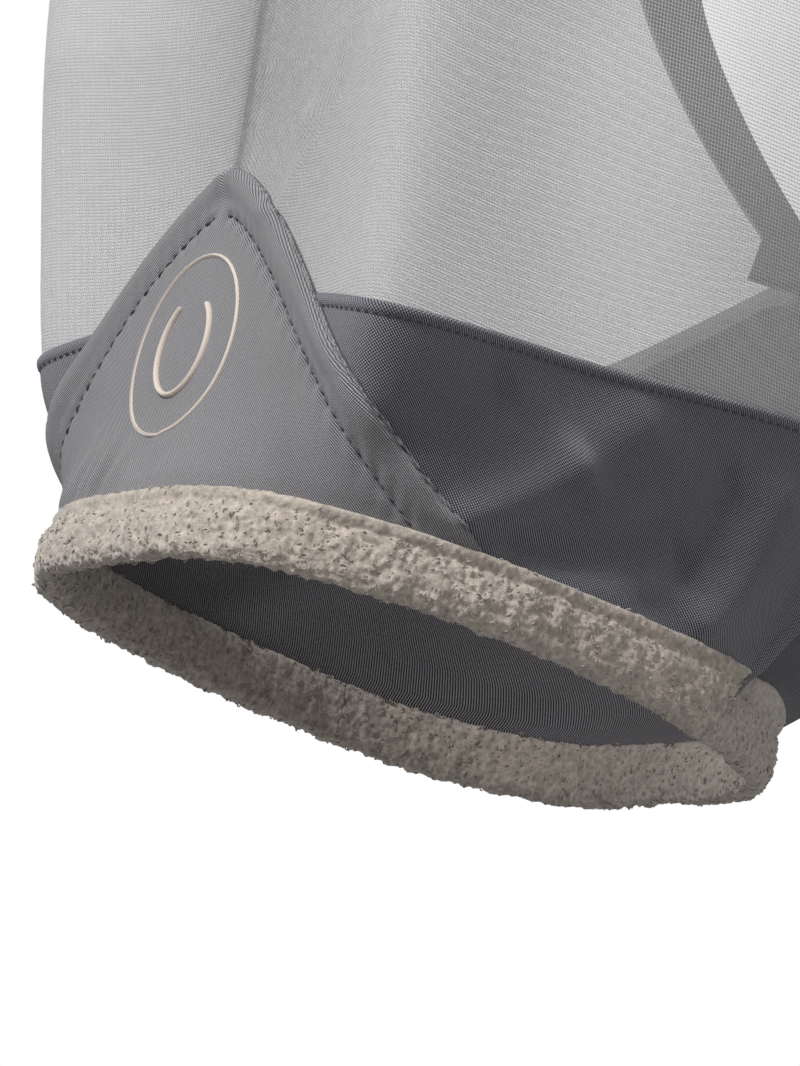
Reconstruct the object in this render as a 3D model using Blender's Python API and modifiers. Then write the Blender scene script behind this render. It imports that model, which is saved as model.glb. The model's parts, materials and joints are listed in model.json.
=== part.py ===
"""Horse fly mask with a fleece bound nose band, as separate sewn pieces.

Metres, +Z up along the mask from the nose opening to the poll. The front of the face
looks along -Y and the horse's left side along +X. The origin is the middle of the nose
opening, where the horse's nose comes out.

Every piece lies on one lay surface. A place on it has an angle round the head, 0 at the
middle of the face and 180 degrees at the jaw, and a run up the front from the nose edge.
Layers of cloth are the lay surface moved out or in along its normal.
"""

import math

import bmesh
import bpy
import numpy as np

# Nose opening and the body of the mask.
RIM_HALF_WIDTH = 0.087
NOSE_DEPTH = 0.1225
JAW_DEPTH = 0.068
EYE_SPREAD = 0.046
EYE_RUN = 0.220
POLL_NARROWING = 0.062
JAW_FLARE = 0.125
JAW_FLARE_RUN = 0.110
FLARE_FOOT = 0.0165
THROAT_TUCK = 0.030
BROW_TURN_RUN = 0.270
BROW_TURN_RADIUS = 0.190
MASK_RUN = 0.530
DOME_DEPTH = 0.034

# Nose band, patch and motif.
BAND_RUN = 0.071
BAND_DIP = 0.006
BAND_RISE = 0.116
BAND_RISE_FROM = math.radians(96)
BAND_RISE_OVER = math.radians(44)
BAND_HEM = 0.007
BAND_LAP = 0.008
PATCH_RUN = 0.112
PATCH_SPREAD = math.radians(72)
TOPSTITCH_INSET = 0.010
MOTIF_MIDDLE_RUN = 0.061
MOTIF_HALF_WIDTH = 0.021
MOTIF_HALF_HEIGHT = 0.024

# Closures.
FOLD_FOOT = math.radians(75)
FOLD_HEAD = math.radians(112)
FOLD_GAP = 0.0009
FLAP_EDGE_FOOT = math.radians(124)
FLAP_EDGE_HEAD = math.radians(139)
UNDERLAP_END = math.radians(-262)
UNDERLAP_TUCK = 0.0081
UNDERLAP_TUCK_FLEECE = 0.0135
TUCK_FROM = math.radians(198)
TUCK_TO = math.radians(222)
TAPE_WIDTH = 0.034
TAPE_RADIUS = 0.109
THROAT_MIDDLE_RUN = 0.338
THROAT_WIDTH = 0.045
THROAT_STEP = 0.0065

# Edges and openings higher up.
HEM_WIDTH = 0.014
BROW_RUN = 0.400
BROW_WIDTH = 0.034
CROWN_WIDTH = 0.040
EAR_OUTER = math.radians(75)
EAR_FOOT = math.radians(106)
BRIDGE_HALF_ANGLE = math.radians(9)
EAR_BINDING_RADIUS = 0.0022
DART_FOOT_RUN = 0.300

# Thicknesses and lay heights of the layers, from the lay surface outwards.
MESH_THICK = 0.0008
CLOTH_THICK = 0.0010
LAYER_GAP = 0.0006
PATCH_GAP = 0.0023
LINING_THICK = 0.0009
FLEECE_THICK = 0.0036
FLEECE_HEIGHT = 0.018
FLEECE_LIP = 0.0035
TAPE_THICK = 0.0012
THREAD_RADIUS = 0.0005
PIPING_RADIUS = 0.0008

MESH_OUT = MESH_THICK / 2
BAND_OUT = MESH_THICK + LAYER_GAP + CLOTH_THICK / 2
BAND_FACE = BAND_OUT + CLOTH_THICK / 2
PATCH_OUT = BAND_FACE + PATCH_GAP + CLOTH_THICK / 2
PATCH_FACE = PATCH_OUT + CLOTH_THICK / 2
LINING_OUT = -(LAYER_GAP + LINING_THICK / 2)
LINING_FACE = LINING_OUT - LINING_THICK / 2

# Angles of the columns that every layer shares, so that facets of neighbours stay parallel.
FRONT_COLUMNS = (0, 6, 14, 22, 29, 35, 41, 47, 53, 59, 65, 71.5, 78)
REAR_COLUMNS = (90, 104, 111, 118, 125, 131, 137, 144, 153, 164, 180)
COLUMNS = np.radians(FRONT_COLUMNS + REAR_COLUMNS)
# Runs of the rows that every layer near the nose edge shares, for the same reason.
FOOT = 0.004
ROWS = (FOOT, FLARE_FOOT, 0.022, 0.029, 0.037, 0.046)
ROWS_BETWEEN = 3

LYCRA = ("dark_stretch_cloth", (0.062, 0.062, 0.068), 0.75)
PATCH_CLOTH = ("grey_twill", (0.16, 0.155, 0.165), 0.7)
NET = ("light_grey_net", (0.42, 0.41, 0.43), 0.8)
FLEECE = ("taupe_fleece", (0.33, 0.28, 0.23), 0.95)
SHADE_CLOTH = ("charcoal_lining", (0.045, 0.045, 0.05), 0.85)
THREAD = ("grey_thread", (0.09, 0.09, 0.095), 0.6)
SILK = ("beige_thread", (0.55, 0.47, 0.38), 0.45)
TAPE = ("black_tape", (0.03, 0.03, 0.032), 0.9)

THREAD_POINTS = 36
HEM_WALL = 0.0009
HEM_GAP = 0.0008
SEAM_HALF_GAP = 0.00006
STRAP_THICK = 0.0018

# How square the lay surface's sections are: powers below 1 give flat sides and round corners.
FRONT_SQUARENESS = 0.58
JAW_SQUARENESS = 0.56
JAW_CROWN = 1.1
SAMPLE = 1e-4


def ease(value, low, high):
    """0 at low and 1 at high, with level ends."""
    share = np.clip((value - low) / (high - low), 0.0, 1.0)
    return share * share * (3 - 2 * share)


def height_at(run):
    past = np.maximum(run - BROW_TURN_RUN, 0.0)
    return np.minimum(run, BROW_TURN_RUN) + BROW_TURN_RADIUS * np.sin(past / BROW_TURN_RADIUS)


def half_width_at(run):
    spread = EYE_SPREAD * ease(run, 0.0, EYE_RUN)
    return RIM_HALF_WIDTH + spread - POLL_NARROWING * ease(run, EYE_RUN + 0.03, MASK_RUN)


def front_at(run):
    """How far the middle of the face lies along Y: nearly straight, then back over the poll."""
    past = np.maximum(run - BROW_TURN_RUN, 0.0)
    hollow = 0.005 * ease(run, 0.0, 0.05) - 0.010 * ease(run, 0.09, 0.20)
    return -NOSE_DEPTH + hollow + BROW_TURN_RADIUS * (1 - np.cos(past / BROW_TURN_RADIUS))


def jaw_at(run):
    flare = JAW_FLARE * (1 - np.exp(-np.maximum(run - FLARE_FOOT, 0.0) / JAW_FLARE_RUN))
    return JAW_DEPTH + flare - THROAT_TUCK * ease(run, 0.34, MASK_RUN)


def middle_at(run):
    return 0.090 * ease(run, 0.26, MASK_RUN)


def dome_at(angle, run):
    """How far the lay surface stands proud over each eye."""
    rise = (1 - np.exp(-np.maximum(run, 0.0) / 0.05)) * ease(run, FLARE_FOOT, 0.048)
    fade = 1 - ease(run, 0.24, 0.38)
    peak = math.radians(40) - math.radians(14) * np.clip((run - 0.05) / 0.10, 0.0, 1.0)
    return DOME_DEPTH * rise * fade * np.exp(-(((np.abs(angle) - peak) / math.radians(14.5)) ** 2))


def lay(angle, run):
    """Points of the lay surface: a squared oval whose sizes change with the run, plus the eye domes."""
    angle, run = np.broadcast_arrays(np.asarray(angle, float), np.asarray(run, float))
    angle = (angle + math.pi) % (2 * math.pi) - math.pi
    across, along = np.sin(angle), np.cos(angle)
    side = np.sign(across)
    squareness = np.where(along > 0, FRONT_SQUARENESS, JAW_SQUARENESS)
    x = half_width_at(run) * side * np.abs(across) ** squareness
    middle = middle_at(run)
    front = middle - (middle - front_at(run)) * np.abs(along)
    rear = middle + (jaw_at(run) - middle) * np.abs(along) ** JAW_CROWN
    dome = dome_at(angle, run)
    x = x + dome * 0.574 * side
    y = np.where(along > 0, front, rear) - dome * 0.819
    return np.stack([x, y, height_at(run)], -1)


def outwards(angle, run):
    """The unit normal of the lay surface, from differences over a small step each way."""
    over = lay(angle + 20 * SAMPLE, run) - lay(angle - 20 * SAMPLE, run)
    up = lay(angle, run + SAMPLE) - lay(angle, run - SAMPLE)
    normal = np.cross(over, up)
    return normal / np.linalg.norm(normal, axis=-1, keepdims=True)


def place(angle, run, out):
    out = np.asarray(out, float)
    return lay(angle, run) + outwards(angle, run) * out[..., None]


def band_top(angle):
    """Run of the nose band's top edge: level in front, rising along the jaw."""
    angle = np.abs(np.asarray(angle, float))
    angle = np.minimum(angle, 2 * math.pi - angle)
    rise = BAND_RISE * np.clip((angle - BAND_RISE_FROM) / BAND_RISE_OVER, 0.0, 1.0)
    dip = BAND_DIP * np.exp(-(((angle - math.radians(35)) / math.radians(22)) ** 2))
    return BAND_RUN + rise - dip


def patch_edge(run, inset=0.0):
    """Half the patch's angle at a run: a rounded peak that spreads to the nose edge."""
    share = np.clip(1 - (run + inset) / PATCH_RUN, 0.0, 1.0)
    return PATCH_SPREAD * share**1.35 + math.radians(2.4) * share**0.5


def rear_edge(run):
    """Angle of the mesh's rear edge, cut forward in a curve between the two closures."""
    return math.radians(113) + np.minimum(1747 * (run - 0.31) ** 2, 26) * math.radians(1)


def fold_line(share):
    """Angle and run of the flap's fold, from the nose edge, 0, to the band's top, 1."""
    angle = FOLD_FOOT + (FOLD_HEAD - FOLD_FOOT) * np.asarray(share, float) ** 0.85
    return angle, share * band_top(FOLD_HEAD)


def flap_edge(share):
    """Angle and run of the flap's free edge."""
    angle = FLAP_EDGE_FOOT + (FLAP_EDGE_HEAD - FLAP_EDGE_FOOT) * np.asarray(share, float)
    return angle, share * band_top(FLAP_EDGE_HEAD)


def tuck(angle, run):
    """How far the underlap lies inside the lay surface where the flap covers it: most at the fleece."""
    depth = UNDERLAP_TUCK_FLEECE + (UNDERLAP_TUCK - UNDERLAP_TUCK_FLEECE) * ease(run, 0.019, 0.040)
    return -depth * ease(-np.asarray(angle, float), TUCK_FROM, TUCK_TO)


def columns_between(first, last):
    """The shared column angles from first to last, with both ends."""
    whole = np.concatenate([COLUMNS, 2 * math.pi - COLUMNS[-2::-1]])
    whole = np.concatenate([-whole[:0:-1], whole])
    low, high = min(first, last), max(first, last)
    inner = whole[(whole > low + math.radians(2)) & (whole < high - math.radians(2))]
    return np.concatenate([[low], inner, [high]])


def finish_of(piece_name, choice):
    """A piece's own material, in one of the shared colours."""
    name, colour, roughness = choice
    made = bpy.data.materials.new(f"{piece_name}_{name}")
    made.use_nodes = True
    shader = made.node_tree.nodes["Principled BSDF"]
    shader.inputs["Base Color"].default_value = (*colour, 1.0)
    shader.inputs["Roughness"].default_value = roughness
    shader.inputs["Metallic"].default_value = 0.0
    return made


def add_object(name, data, choice, parts):
    piece = bpy.data.objects.new(name, data)
    data.materials.append(finish_of(name, choice))
    parts.objects.link(piece)
    return piece


def sheet_of(name, points, thick, choice, parts):
    """A cloth piece: a grid laid on a (rows, columns, 3) array of points, with Solidify for its wall."""
    rows, columns = points.shape[:2]
    grid = bmesh.new()
    bmesh.ops.create_grid(grid, x_segments=columns - 1, y_segments=rows - 1, size=1.0)
    flat = points.reshape(-1, 3)
    for vertex in grid.verts:
        column = round((vertex.co.x + 1) / 2 * (columns - 1))
        row = round((vertex.co.y + 1) / 2 * (rows - 1))
        vertex.co = flat[row * columns + column]
    mesh = bpy.data.meshes.new(name)
    grid.to_mesh(mesh)
    grid.free()
    mesh.shade_smooth()
    piece = add_object(name, mesh, choice, parts)
    wall = piece.modifiers.new("wall", "SOLIDIFY")
    wall.thickness = thick
    wall.offset = 0.0
    return piece


def loft_of(name, rings, choice, parts):
    """A closed solid through a (stations, points, 3) array of closed sections, with flat ends."""
    stations, around = rings.shape[:2]
    faces = []
    for station in range(stations - 1):
        for point in range(around):
            beside = (point + 1) % around
            low, high = station * around, (station + 1) * around
            faces.append((low + point, high + point, high + beside, low + beside))
    faces.append(tuple(range(around)))
    faces.append(tuple(reversed(range((stations - 1) * around, stations * around))))
    mesh = bpy.data.meshes.new(name)
    mesh.from_pydata(rings.reshape(-1, 3).tolist(), [], faces)
    shape = bmesh.new()
    shape.from_mesh(mesh)
    bmesh.ops.recalc_face_normals(shape, faces=shape.faces)
    shape.to_mesh(mesh)
    shape.free()
    mesh.shade_smooth()
    mesh.set_sharp_from_angle(angle=math.radians(50))
    return add_object(name, mesh, choice, parts)


def thread_of(name, points, radius, choice, parts, closed=False):
    """A thread, cord or binding: a POLY curve with a round bevel."""
    curve = bpy.data.curves.new(name, "CURVE")
    curve.dimensions = "3D"
    curve.bevel_depth = radius
    curve.bevel_resolution = 0 if radius < 0.001 else 1
    curve.use_fill_caps = not closed
    spline = curve.splines.new("POLY")
    spline.points.add(len(points) - 1)
    for spot, point in zip(spline.points, points):
        spot.co = (*point, 1.0)
    spline.use_cyclic_u = closed
    return add_object(name, curve, choice, parts)


def band_rows(tops):
    """Runs of the band's rows for columns whose top edge is at tops: the shared rows, then those above."""
    fixed = np.repeat(np.array(ROWS)[:, None], len(tops), axis=1)
    share = np.arange(1, ROWS_BETWEEN + 1)[:, None] / (ROWS_BETWEEN + 1)
    between = ROWS[-1] + (tops - BAND_LAP - ROWS[-1]) * share
    return np.vstack([fixed, between, tops - BAND_LAP, tops])


def band_grid(first, last, low_run, high_run, out, rows=3):
    """A grid on the lay surface between two angles, its rows from low_run to high_run."""
    angles = columns_between(first, last)
    share = np.linspace(0.0, 1.0, rows)[:, None]
    runs = low_run + (high_run - low_run) * share
    spread, runs = np.broadcast_arrays(angles, runs)
    return place(spread, runs, np.full(runs.shape, out))


def net_rows(start):
    """Runs of the net's rows above a start: one at the lap, one at the band's edge, and three at the brow."""
    brow = BROW_RUN - BROW_WIDTH
    share = np.linspace(0.0, 1.0, 11)[1:, None] ** 1.15
    middle = start + (brow - start) * share
    over = np.full_like(start, brow + BROW_WIDTH / 2)
    return np.vstack([start - BAND_LAP, start, middle, over, np.full_like(start, BROW_RUN)])


def hem_angle(run):
    """Angle at which the rear hem starts, forward of the net's edge."""
    return rear_edge(run) - HEM_WIDTH / RIM_HALF_WIDTH * 0.75


def make_net_panels(parts):
    """Two face panels of net, from the middle seam to the rear edge and from the band to the brow."""
    fixed = COLUMNS[COLUMNS < math.radians(80)]
    fixed_runs = net_rows(band_top(fixed))
    rear_runs = net_rows(band_top(np.array([FLAP_EDGE_HEAD])))
    edge, hem = rear_edge(rear_runs), hem_angle(rear_runs)
    between = fixed[-1] + (hem - fixed[-1]) * np.arange(1, 6) / 6
    between_runs = net_rows(band_top(between[1]))
    angles = np.hstack([np.broadcast_to(fixed, fixed_runs.shape), between, hem, edge])
    runs = np.hstack([fixed_runs, between_runs, rear_runs, rear_runs])
    angles[:, 0] = SEAM_HALF_GAP / RIM_HALF_WIDTH
    for side, name in ((1, "left_face_net"), (-1, "right_face_net")):
        points = place(side * angles, runs, np.full(runs.shape, MESH_OUT))
        sheet_of(name, points if side > 0 else points[:, ::-1], MESH_THICK, NET, parts)


def make_middle_seam(parts):
    """The tape that covers the seam between the two net panels, on their inner face."""
    runs = net_rows(np.array([band_top(0.0)]))[1:-2]
    runs[-1] -= 0.002
    angles = np.broadcast_to(np.radians([-0.35, 0.0, 0.35]), (len(runs), 3))
    points = place(angles, np.broadcast_to(runs, angles.shape), np.full(angles.shape, -0.0011))
    sheet_of("middle_seam_tape", points, CLOTH_THICK * 0.7, SHADE_CLOTH, parts)


def make_nose_band(parts):
    """The band's outer cloth and lining: left, right with its underlap, and the left side's flap."""
    seam = math.radians(0.35)
    fixed = np.concatenate([[seam], COLUMNS[(COLUMNS > 0) & (COLUMNS < math.radians(70))]])
    for name, out, thick, choice, drop in (
        ("nose_band", BAND_OUT, CLOTH_THICK, LYCRA, 0.0),
        ("nose_band_lining", LINING_OUT, LINING_THICK, SHADE_CLOTH, 0.004),
    ):
        around = columns_between(UNDERLAP_END, -seam)
        runs = band_rows(band_top(around) - drop)
        angles = np.broadcast_to(around, runs.shape)
        sheet_of(f"{name}_right", place(angles, runs, out + tuck(angles, runs)), thick, choice, parts)

        fold_tops = np.array([band_top(FOLD_HEAD) - drop])
        fold_runs = band_rows(fold_tops)
        share = fold_runs / band_top(FOLD_HEAD)
        fold_angles = fold_line(share)[0]
        front_runs = band_rows(band_top(fixed) - drop)
        angles = np.broadcast_to(fixed, front_runs.shape)
        loose = np.array([1, 2, 3]) / 3
        rear_angles = fixed[-1] + (fold_angles - fixed[-1]) * loose
        rear_tops = np.minimum(band_top(rear_angles[-1]), band_top(FOLD_HEAD)) - drop
        runs = np.hstack([front_runs, band_rows(rear_tops)])
        left = place(np.hstack([angles, rear_angles]), runs, np.full(runs.shape, out))
        sheet_of(f"{name}_left", left, thick, choice, parts)

        edge_runs = band_rows(np.array([band_top(FLAP_EDGE_HEAD) - drop]))
        edge_angles = flap_edge(edge_runs / band_top(FLAP_EDGE_HEAD))[0]
        first = fold_angles + FOLD_GAP / RIM_HALF_WIDTH
        angles = first + (edge_angles - first) * np.linspace(0.0, 1.0, 9)
        runs = band_rows(band_top(angles[-1]) - drop)
        if drop > 0:
            runs = band_rows(band_top(angles[-1]) - BAND_LAP - drop / 2)
        flap = place(angles, runs, np.full(runs.shape, out))
        sheet_of(name.replace("band", "flap"), flap, thick, choice, parts)


def make_patch(parts):
    """The peaked front patch with its edge cord and topstitch."""
    above = np.linspace(ROWS[-1], PATCH_RUN - 0.0016, 8)[1:]
    runs = np.concatenate([ROWS, above])[:, None]
    over = np.linspace(-1.0, 1.0, 27)[None, :]
    angles = patch_edge(runs) * np.sign(over) * np.abs(over) ** 1.1
    points = place(angles, np.broadcast_to(runs, angles.shape), np.full(angles.shape, PATCH_OUT))
    sheet_of("nose_patch", points, CLOTH_THICK, PATCH_CLOTH, parts)

    for name, inset, radius, low, choice in (
        ("patch_edge_cord", 0.0024, PIPING_RADIUS, FLEECE_HEIGHT + 0.002, THREAD),
        ("patch_topstitch", TOPSTITCH_INSET, THREAD_RADIUS, FLEECE_HEIGHT + 0.002, THREAD),
    ):
        peak = PATCH_RUN - inset * 1.35
        runs = low + (peak - low) * np.sin(np.linspace(0.0, math.pi / 2, THREAD_POINTS // 2))
        half = patch_edge(runs, inset * 1.3)
        angles = np.concatenate([-half[:-1], [0.0], half[-2::-1]])
        runs = np.concatenate([runs[:-1], [peak], runs[-2::-1]])
        out = PATCH_FACE + radius + LAYER_GAP + 0.0009
        thread_of(name, place(angles, runs, np.full(angles.shape, out)), radius, choice, parts)


def on_face(x, run, out):
    """A point of the patch at a distance x from its middle line."""
    angles = np.linspace(0.0, math.radians(60), 200)
    reach = lay(angles[None, :], np.asarray(run, float)[:, None])[..., 0]
    angle = np.array([np.interp(abs(far), row, angles) for far, row in zip(x, reach)])
    return place(np.sign(x) * angle, np.asarray(run, float), np.full(len(x), out))


def make_motif(parts):
    """A plain embroidered oval with a horseshoe in it."""
    out = PATCH_FACE + LAYER_GAP + 0.0006
    turn = np.linspace(0.0, 2 * math.pi, 25)[:-1]
    x = MOTIF_HALF_WIDTH * np.sin(turn)
    run = MOTIF_MIDDLE_RUN + MOTIF_HALF_HEIGHT * np.cos(turn)
    thread_of("motif_oval", on_face(x, run, out), 0.0006, SILK, parts, closed=True)
    sweep = np.radians(np.linspace(-145, 145, 14))
    x = 0.0115 * np.sin(sweep)
    run = MOTIF_MIDDLE_RUN - 0.0140 * np.cos(sweep)
    thread_of("motif_horseshoe", on_face(x, run, out + 0.0004), 0.0010, SILK, parts)


def fleece_section(angle):
    """The U shaped fleece over the nose edge, as (run, out) points round its section."""
    patch = 1 - ease(np.abs(angle), math.radians(71.5), math.radians(82))
    inner = BAND_FACE + LAYER_GAP + patch * (PATCH_FACE - BAND_FACE + PATCH_GAP - LAYER_GAP)
    outer = inner + FLEECE_THICK
    back = LINING_FACE - LAYER_GAP
    return (
        (FLEECE_HEIGHT, inner),
        (FLEECE_HEIGHT, inner + 0.0014),
        (FLEECE_HEIGHT - FLEECE_LIP, inner + 0.0016),
        (FLEECE_HEIGHT - FLEECE_LIP - 0.002, outer),
        (0.004, outer + 0.0004),
        (0.0, inner - 0.0005),
        (0.0, back + 0.0005),
        (0.004, back - FLEECE_THICK - 0.0004),
        (0.0145, back - FLEECE_THICK + 0.0006),
        (0.0160, back),
        (0.0034, back),
        (0.0034, inner),
    )


def fleece_loft(name, angles, parts, first=0.0, last=0.0):
    """A length of the binding through its sections at the given angles; an end may lean with the fold."""
    rings = []
    for angle in angles:
        section = fleece_section(angle)
        runs = np.array([run for run, _ in section])
        outs = np.array([out for _, out in section]) + tuck(angle, 0.0)
        around = np.full(len(section), angle)
        if (angle == angles[0] and first) or (angle == angles[-1] and last):
            around = fold_line(runs / band_top(FOLD_HEAD))[0] + first + last
        rings.append(place(around, runs, outs))
    loft_of(name, np.array(rings), FLEECE, parts)


def make_fleece(parts):
    """Fleece binding in three lengths, joined on the right side and at the flap's fold."""
    joint = math.radians(-97)
    gap = math.radians(0.25)
    lean = FOLD_GAP / RIM_HALF_WIDTH
    front = columns_between(joint + gap, FOLD_FOOT)
    fleece_loft("fleece_binding_front", front, parts, last=-lean / 2)
    rear = columns_between(UNDERLAP_END - math.radians(1.2), joint - gap)
    fleece_loft("fleece_binding_underlap", rear, parts)
    flap = np.radians([75, 86.5, 92, 98, 104, 111, 118, 124, 127])
    fleece_loft("fleece_binding_flap", flap, parts, first=lean)


def make_closure_tapes(parts):
    """Hook tape inside the flap and loop tape on the underlap's outer face."""
    rear = flap_edge(np.linspace(0.16, 0.86, ROWS_BETWEEN + 3))[0][:, None] - math.radians(3)
    angles = rear - TAPE_WIDTH / TAPE_RADIUS * np.linspace(1.0, 0.0, 6)
    runs = band_rows(band_top(angles[-1]))[-ROWS_BETWEEN - 4 : -1]
    runs[-1] -= 0.006
    back = LINING_FACE - LAYER_GAP - TAPE_THICK / 2
    sheet_of("nose_hook_tape", place(angles, runs, np.full(runs.shape, back)), TAPE_THICK, TAPE, parts)
    turned = angles - 2 * math.pi
    face = BAND_FACE + LAYER_GAP + TAPE_THICK / 2 + tuck(turned, runs)
    sheet_of("nose_loop_tape", place(turned, runs, face), TAPE_THICK, TAPE, parts)


def make_rear_hems(parts):
    """Cloth edging folded over the net's rear edge on each side."""
    clear, wall = HEM_GAP, HEM_WALL
    runs = net_rows(band_top(np.array([FLAP_EDGE_HEAD])))[1:, 0]
    runs[0] += 0.003
    for side, name in ((1, "left_rear_hem"), (-1, "right_rear_hem")):
        rings = []
        for run in runs:
            start, edge = hem_angle(run), rear_edge(run)
            section = (
                (start, MESH_THICK + clear),
                (start, MESH_THICK + clear + wall),
                (edge + 0.012, MESH_THICK + clear + wall),
                (edge + 0.022, MESH_OUT),
                (edge + 0.012, -clear - wall),
                (start, -clear - wall),
                (start, -clear),
                (edge + 0.006, -clear),
                (edge + 0.006, MESH_THICK + clear),
            )
            angles = np.array([angle for angle, _ in section]) * side
            outs = np.array([out for _, out in section])
            rings.append(place(angles, np.full(len(section), run), outs))
        loft_of(name, np.array(rings), LYCRA, parts)


def ear_low(angle):
    """Run of the crown piece's lower edge: above the ears, then down to the brow behind them."""
    drop = (MASK_RUN - CROWN_WIDTH - BROW_RUN) * ease(np.abs(angle), EAR_OUTER + math.radians(3), EAR_FOOT)
    return MASK_RUN - CROWN_WIDTH - drop + 0.0006


def make_poll_pieces(parts):
    """Brow band, crown piece and the bridge between the ears, each with a fleece or cloth lining."""
    end = rear_edge(BROW_RUN)
    brow_end = hem_angle(BROW_RUN - BROW_WIDTH) - 0.05
    for name, out, thick, choice in (
        ("brow_band", BAND_OUT, CLOTH_THICK, LYCRA),
        ("brow_fleece", -(2 * LAYER_GAP + 0.0015), 0.003, FLEECE),
    ):
        grid = band_grid(-brow_end, brow_end, BROW_RUN - BROW_WIDTH, BROW_RUN - 0.0005, out, 3)
        sheet_of(name, grid, thick, choice, parts)
    for name, out, thick, choice, inset in (
        ("crown_piece", MESH_OUT, CLOTH_THICK, LYCRA, 0.0),
        ("crown_fleece", -(LAYER_GAP + 0.0017), 0.003, FLEECE, 0.003),
    ):
        angles = columns_between(-end + inset * 8, end - inset * 8)
        low = ear_low(angles) + inset
        sheet_of(name, band_grid(angles[0], angles[-1], low, MASK_RUN - inset, out, 5), thick, choice, parts)
    runs = np.linspace(BROW_RUN + 0.0006, MASK_RUN - CROWN_WIDTH - 0.0004, 5)[:, None]
    angles = np.radians([-9.0, -5.0, 0.0, 5.0, 9.0])
    points = place(np.broadcast_to(angles, (5, 5)), np.broadcast_to(runs, (5, 5)), np.full((5, 5), MESH_OUT))
    sheet_of("poll_bridge", points, CLOTH_THICK, LYCRA, parts)


def make_ear_bindings(parts):
    """A rolled cloth edge round each ear opening."""
    inset = EAR_BINDING_RADIUS + 0.0013
    low, high = BROW_RUN + inset, MASK_RUN - CROWN_WIDTH - inset
    inner = BRIDGE_HALF_ANGLE + math.radians(3.2)
    outer = EAR_OUTER
    turn = np.linspace(0.0, 2 * math.pi, 25)[:-1]
    corner = 0.55
    across = np.sign(np.cos(turn)) * np.abs(np.cos(turn)) ** corner
    along = np.sign(np.sin(turn)) * np.abs(np.sin(turn)) ** corner
    angles = (inner + outer) / 2 + (outer - inner) / 2 * across
    runs = (low + high) / 2 + (high - low) / 2 * along
    for side, name in ((1, "left_ear_binding"), (-1, "right_ear_binding")):
        points = place(side * angles, runs, np.full(len(turn), MESH_OUT))
        thread_of(name, points, EAR_BINDING_RADIUS, LYCRA, parts, closed=True)


def make_dart_tapes(parts):
    """A sewn tape over the dart that shapes the net round each eye."""
    runs = np.linspace(DART_FOOT_RUN, BROW_RUN - BROW_WIDTH - 0.002, 6)[:, None]
    for side, name in ((1, "left_dart_tape"), (-1, "right_dart_tape")):
        angles = side * np.radians(np.linspace(46.5, 53.5, 4))
        outs = np.full((6, 4), MESH_THICK + 0.0008 + CLOTH_THICK / 2)
        points = place(np.broadcast_to(angles, (6, 4)), np.broadcast_to(runs, (6, 4)), outs)
        sheet_of(name, points if side > 0 else points[:, ::-1], CLOTH_THICK, LYCRA, parts)


def throat_span(first, last, out, narrow=0.0):
    """A grid of the throat strap's width between two angles, narrowed for what is sewn on it."""
    low = THROAT_MIDDLE_RUN - THROAT_WIDTH / 2
    return band_grid(first, last, low + narrow, low + THROAT_WIDTH - narrow, out, 3)


def make_throat_straps(parts):
    """The throat closure: a strap from the right side, and a left strap that folds over it."""
    face = MESH_THICK + HEM_GAP + LAYER_GAP + HEM_WALL + STRAP_THICK / 2
    root = rear_edge(THROAT_MIDDLE_RUN)
    lift = face + THROAT_STEP
    strap = STRAP_THICK
    sheet_of("throat_strap_right", throat_span(-math.radians(232), 0.10 - root, face), strap, LYCRA, parts)
    sheet_of("throat_strap_left", throat_span(root - 0.10, root + 0.045, face), strap, LYCRA, parts)
    sheet_of("throat_flap", throat_span(root + 0.065, math.radians(186), lift), strap, LYCRA, parts)
    low, high = math.radians(146), math.radians(183)
    tape = TAPE_THICK / 2 + strap / 2 + LAYER_GAP + 0.0002
    hook = throat_span(low, high, lift - tape, 0.005)
    sheet_of("throat_hook_tape", hook, TAPE_THICK, TAPE, parts)
    loop = throat_span(low - 2 * math.pi, high - 2 * math.pi, face + tape, 0.005)
    sheet_of("throat_loop_tape", loop, TAPE_THICK, TAPE, parts)


def make_edge_threads(parts):
    """Stitch lines: under the band's top hem on each piece, and along the fleece's sewn lip."""
    out = BAND_FACE + THREAD_RADIUS + LAYER_GAP + 0.0004
    first, last = patch_edge(BAND_RUN) + math.radians(14), math.radians(70)
    for name, start, stop in (
        ("band_stitch_left", first, last),
        ("band_stitch_right", -math.radians(196), -first),
    ):
        angles = columns_between(start, stop)
        runs = band_top(angles) - BAND_HEM
        thread_of(name, place(angles, runs, np.full(angles.shape, out)), THREAD_RADIUS, THREAD, parts)
    angles = columns_between(FOLD_HEAD + math.radians(4), FLAP_EDGE_HEAD - math.radians(3))
    points = place(angles, band_top(angles) - BAND_HEM, np.full(angles.shape, out))
    thread_of("flap_stitch", points, THREAD_RADIUS, THREAD, parts)


def main():
    for old in list(bpy.data.objects):
        bpy.data.objects.remove(old)
    parts = bpy.data.collections.new("fly_mask")
    bpy.context.scene.collection.children.link(parts)
    make_net_panels(parts)
    make_middle_seam(parts)
    make_nose_band(parts)
    make_patch(parts)
    make_motif(parts)
    make_fleece(parts)
    make_closure_tapes(parts)
    make_rear_hems(parts)
    make_poll_pieces(parts)
    make_ear_bindings(parts)
    make_dart_tapes(parts)
    make_throat_straps(parts)
    make_edge_threads(parts)


main()
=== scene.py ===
"""Looks of a horse fly mask: see-through face net, stretch nose band, front patch and fleece edge.

Every cloth piece lies on one lay surface, which a place is given on by an angle round the head and
a run up the front from the nose edge. Layers are that surface moved along its normal, and the
folds of the worn cloth are shared by all layers. Metres, +Z up, front towards -Y, left along +X.
"""

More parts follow.
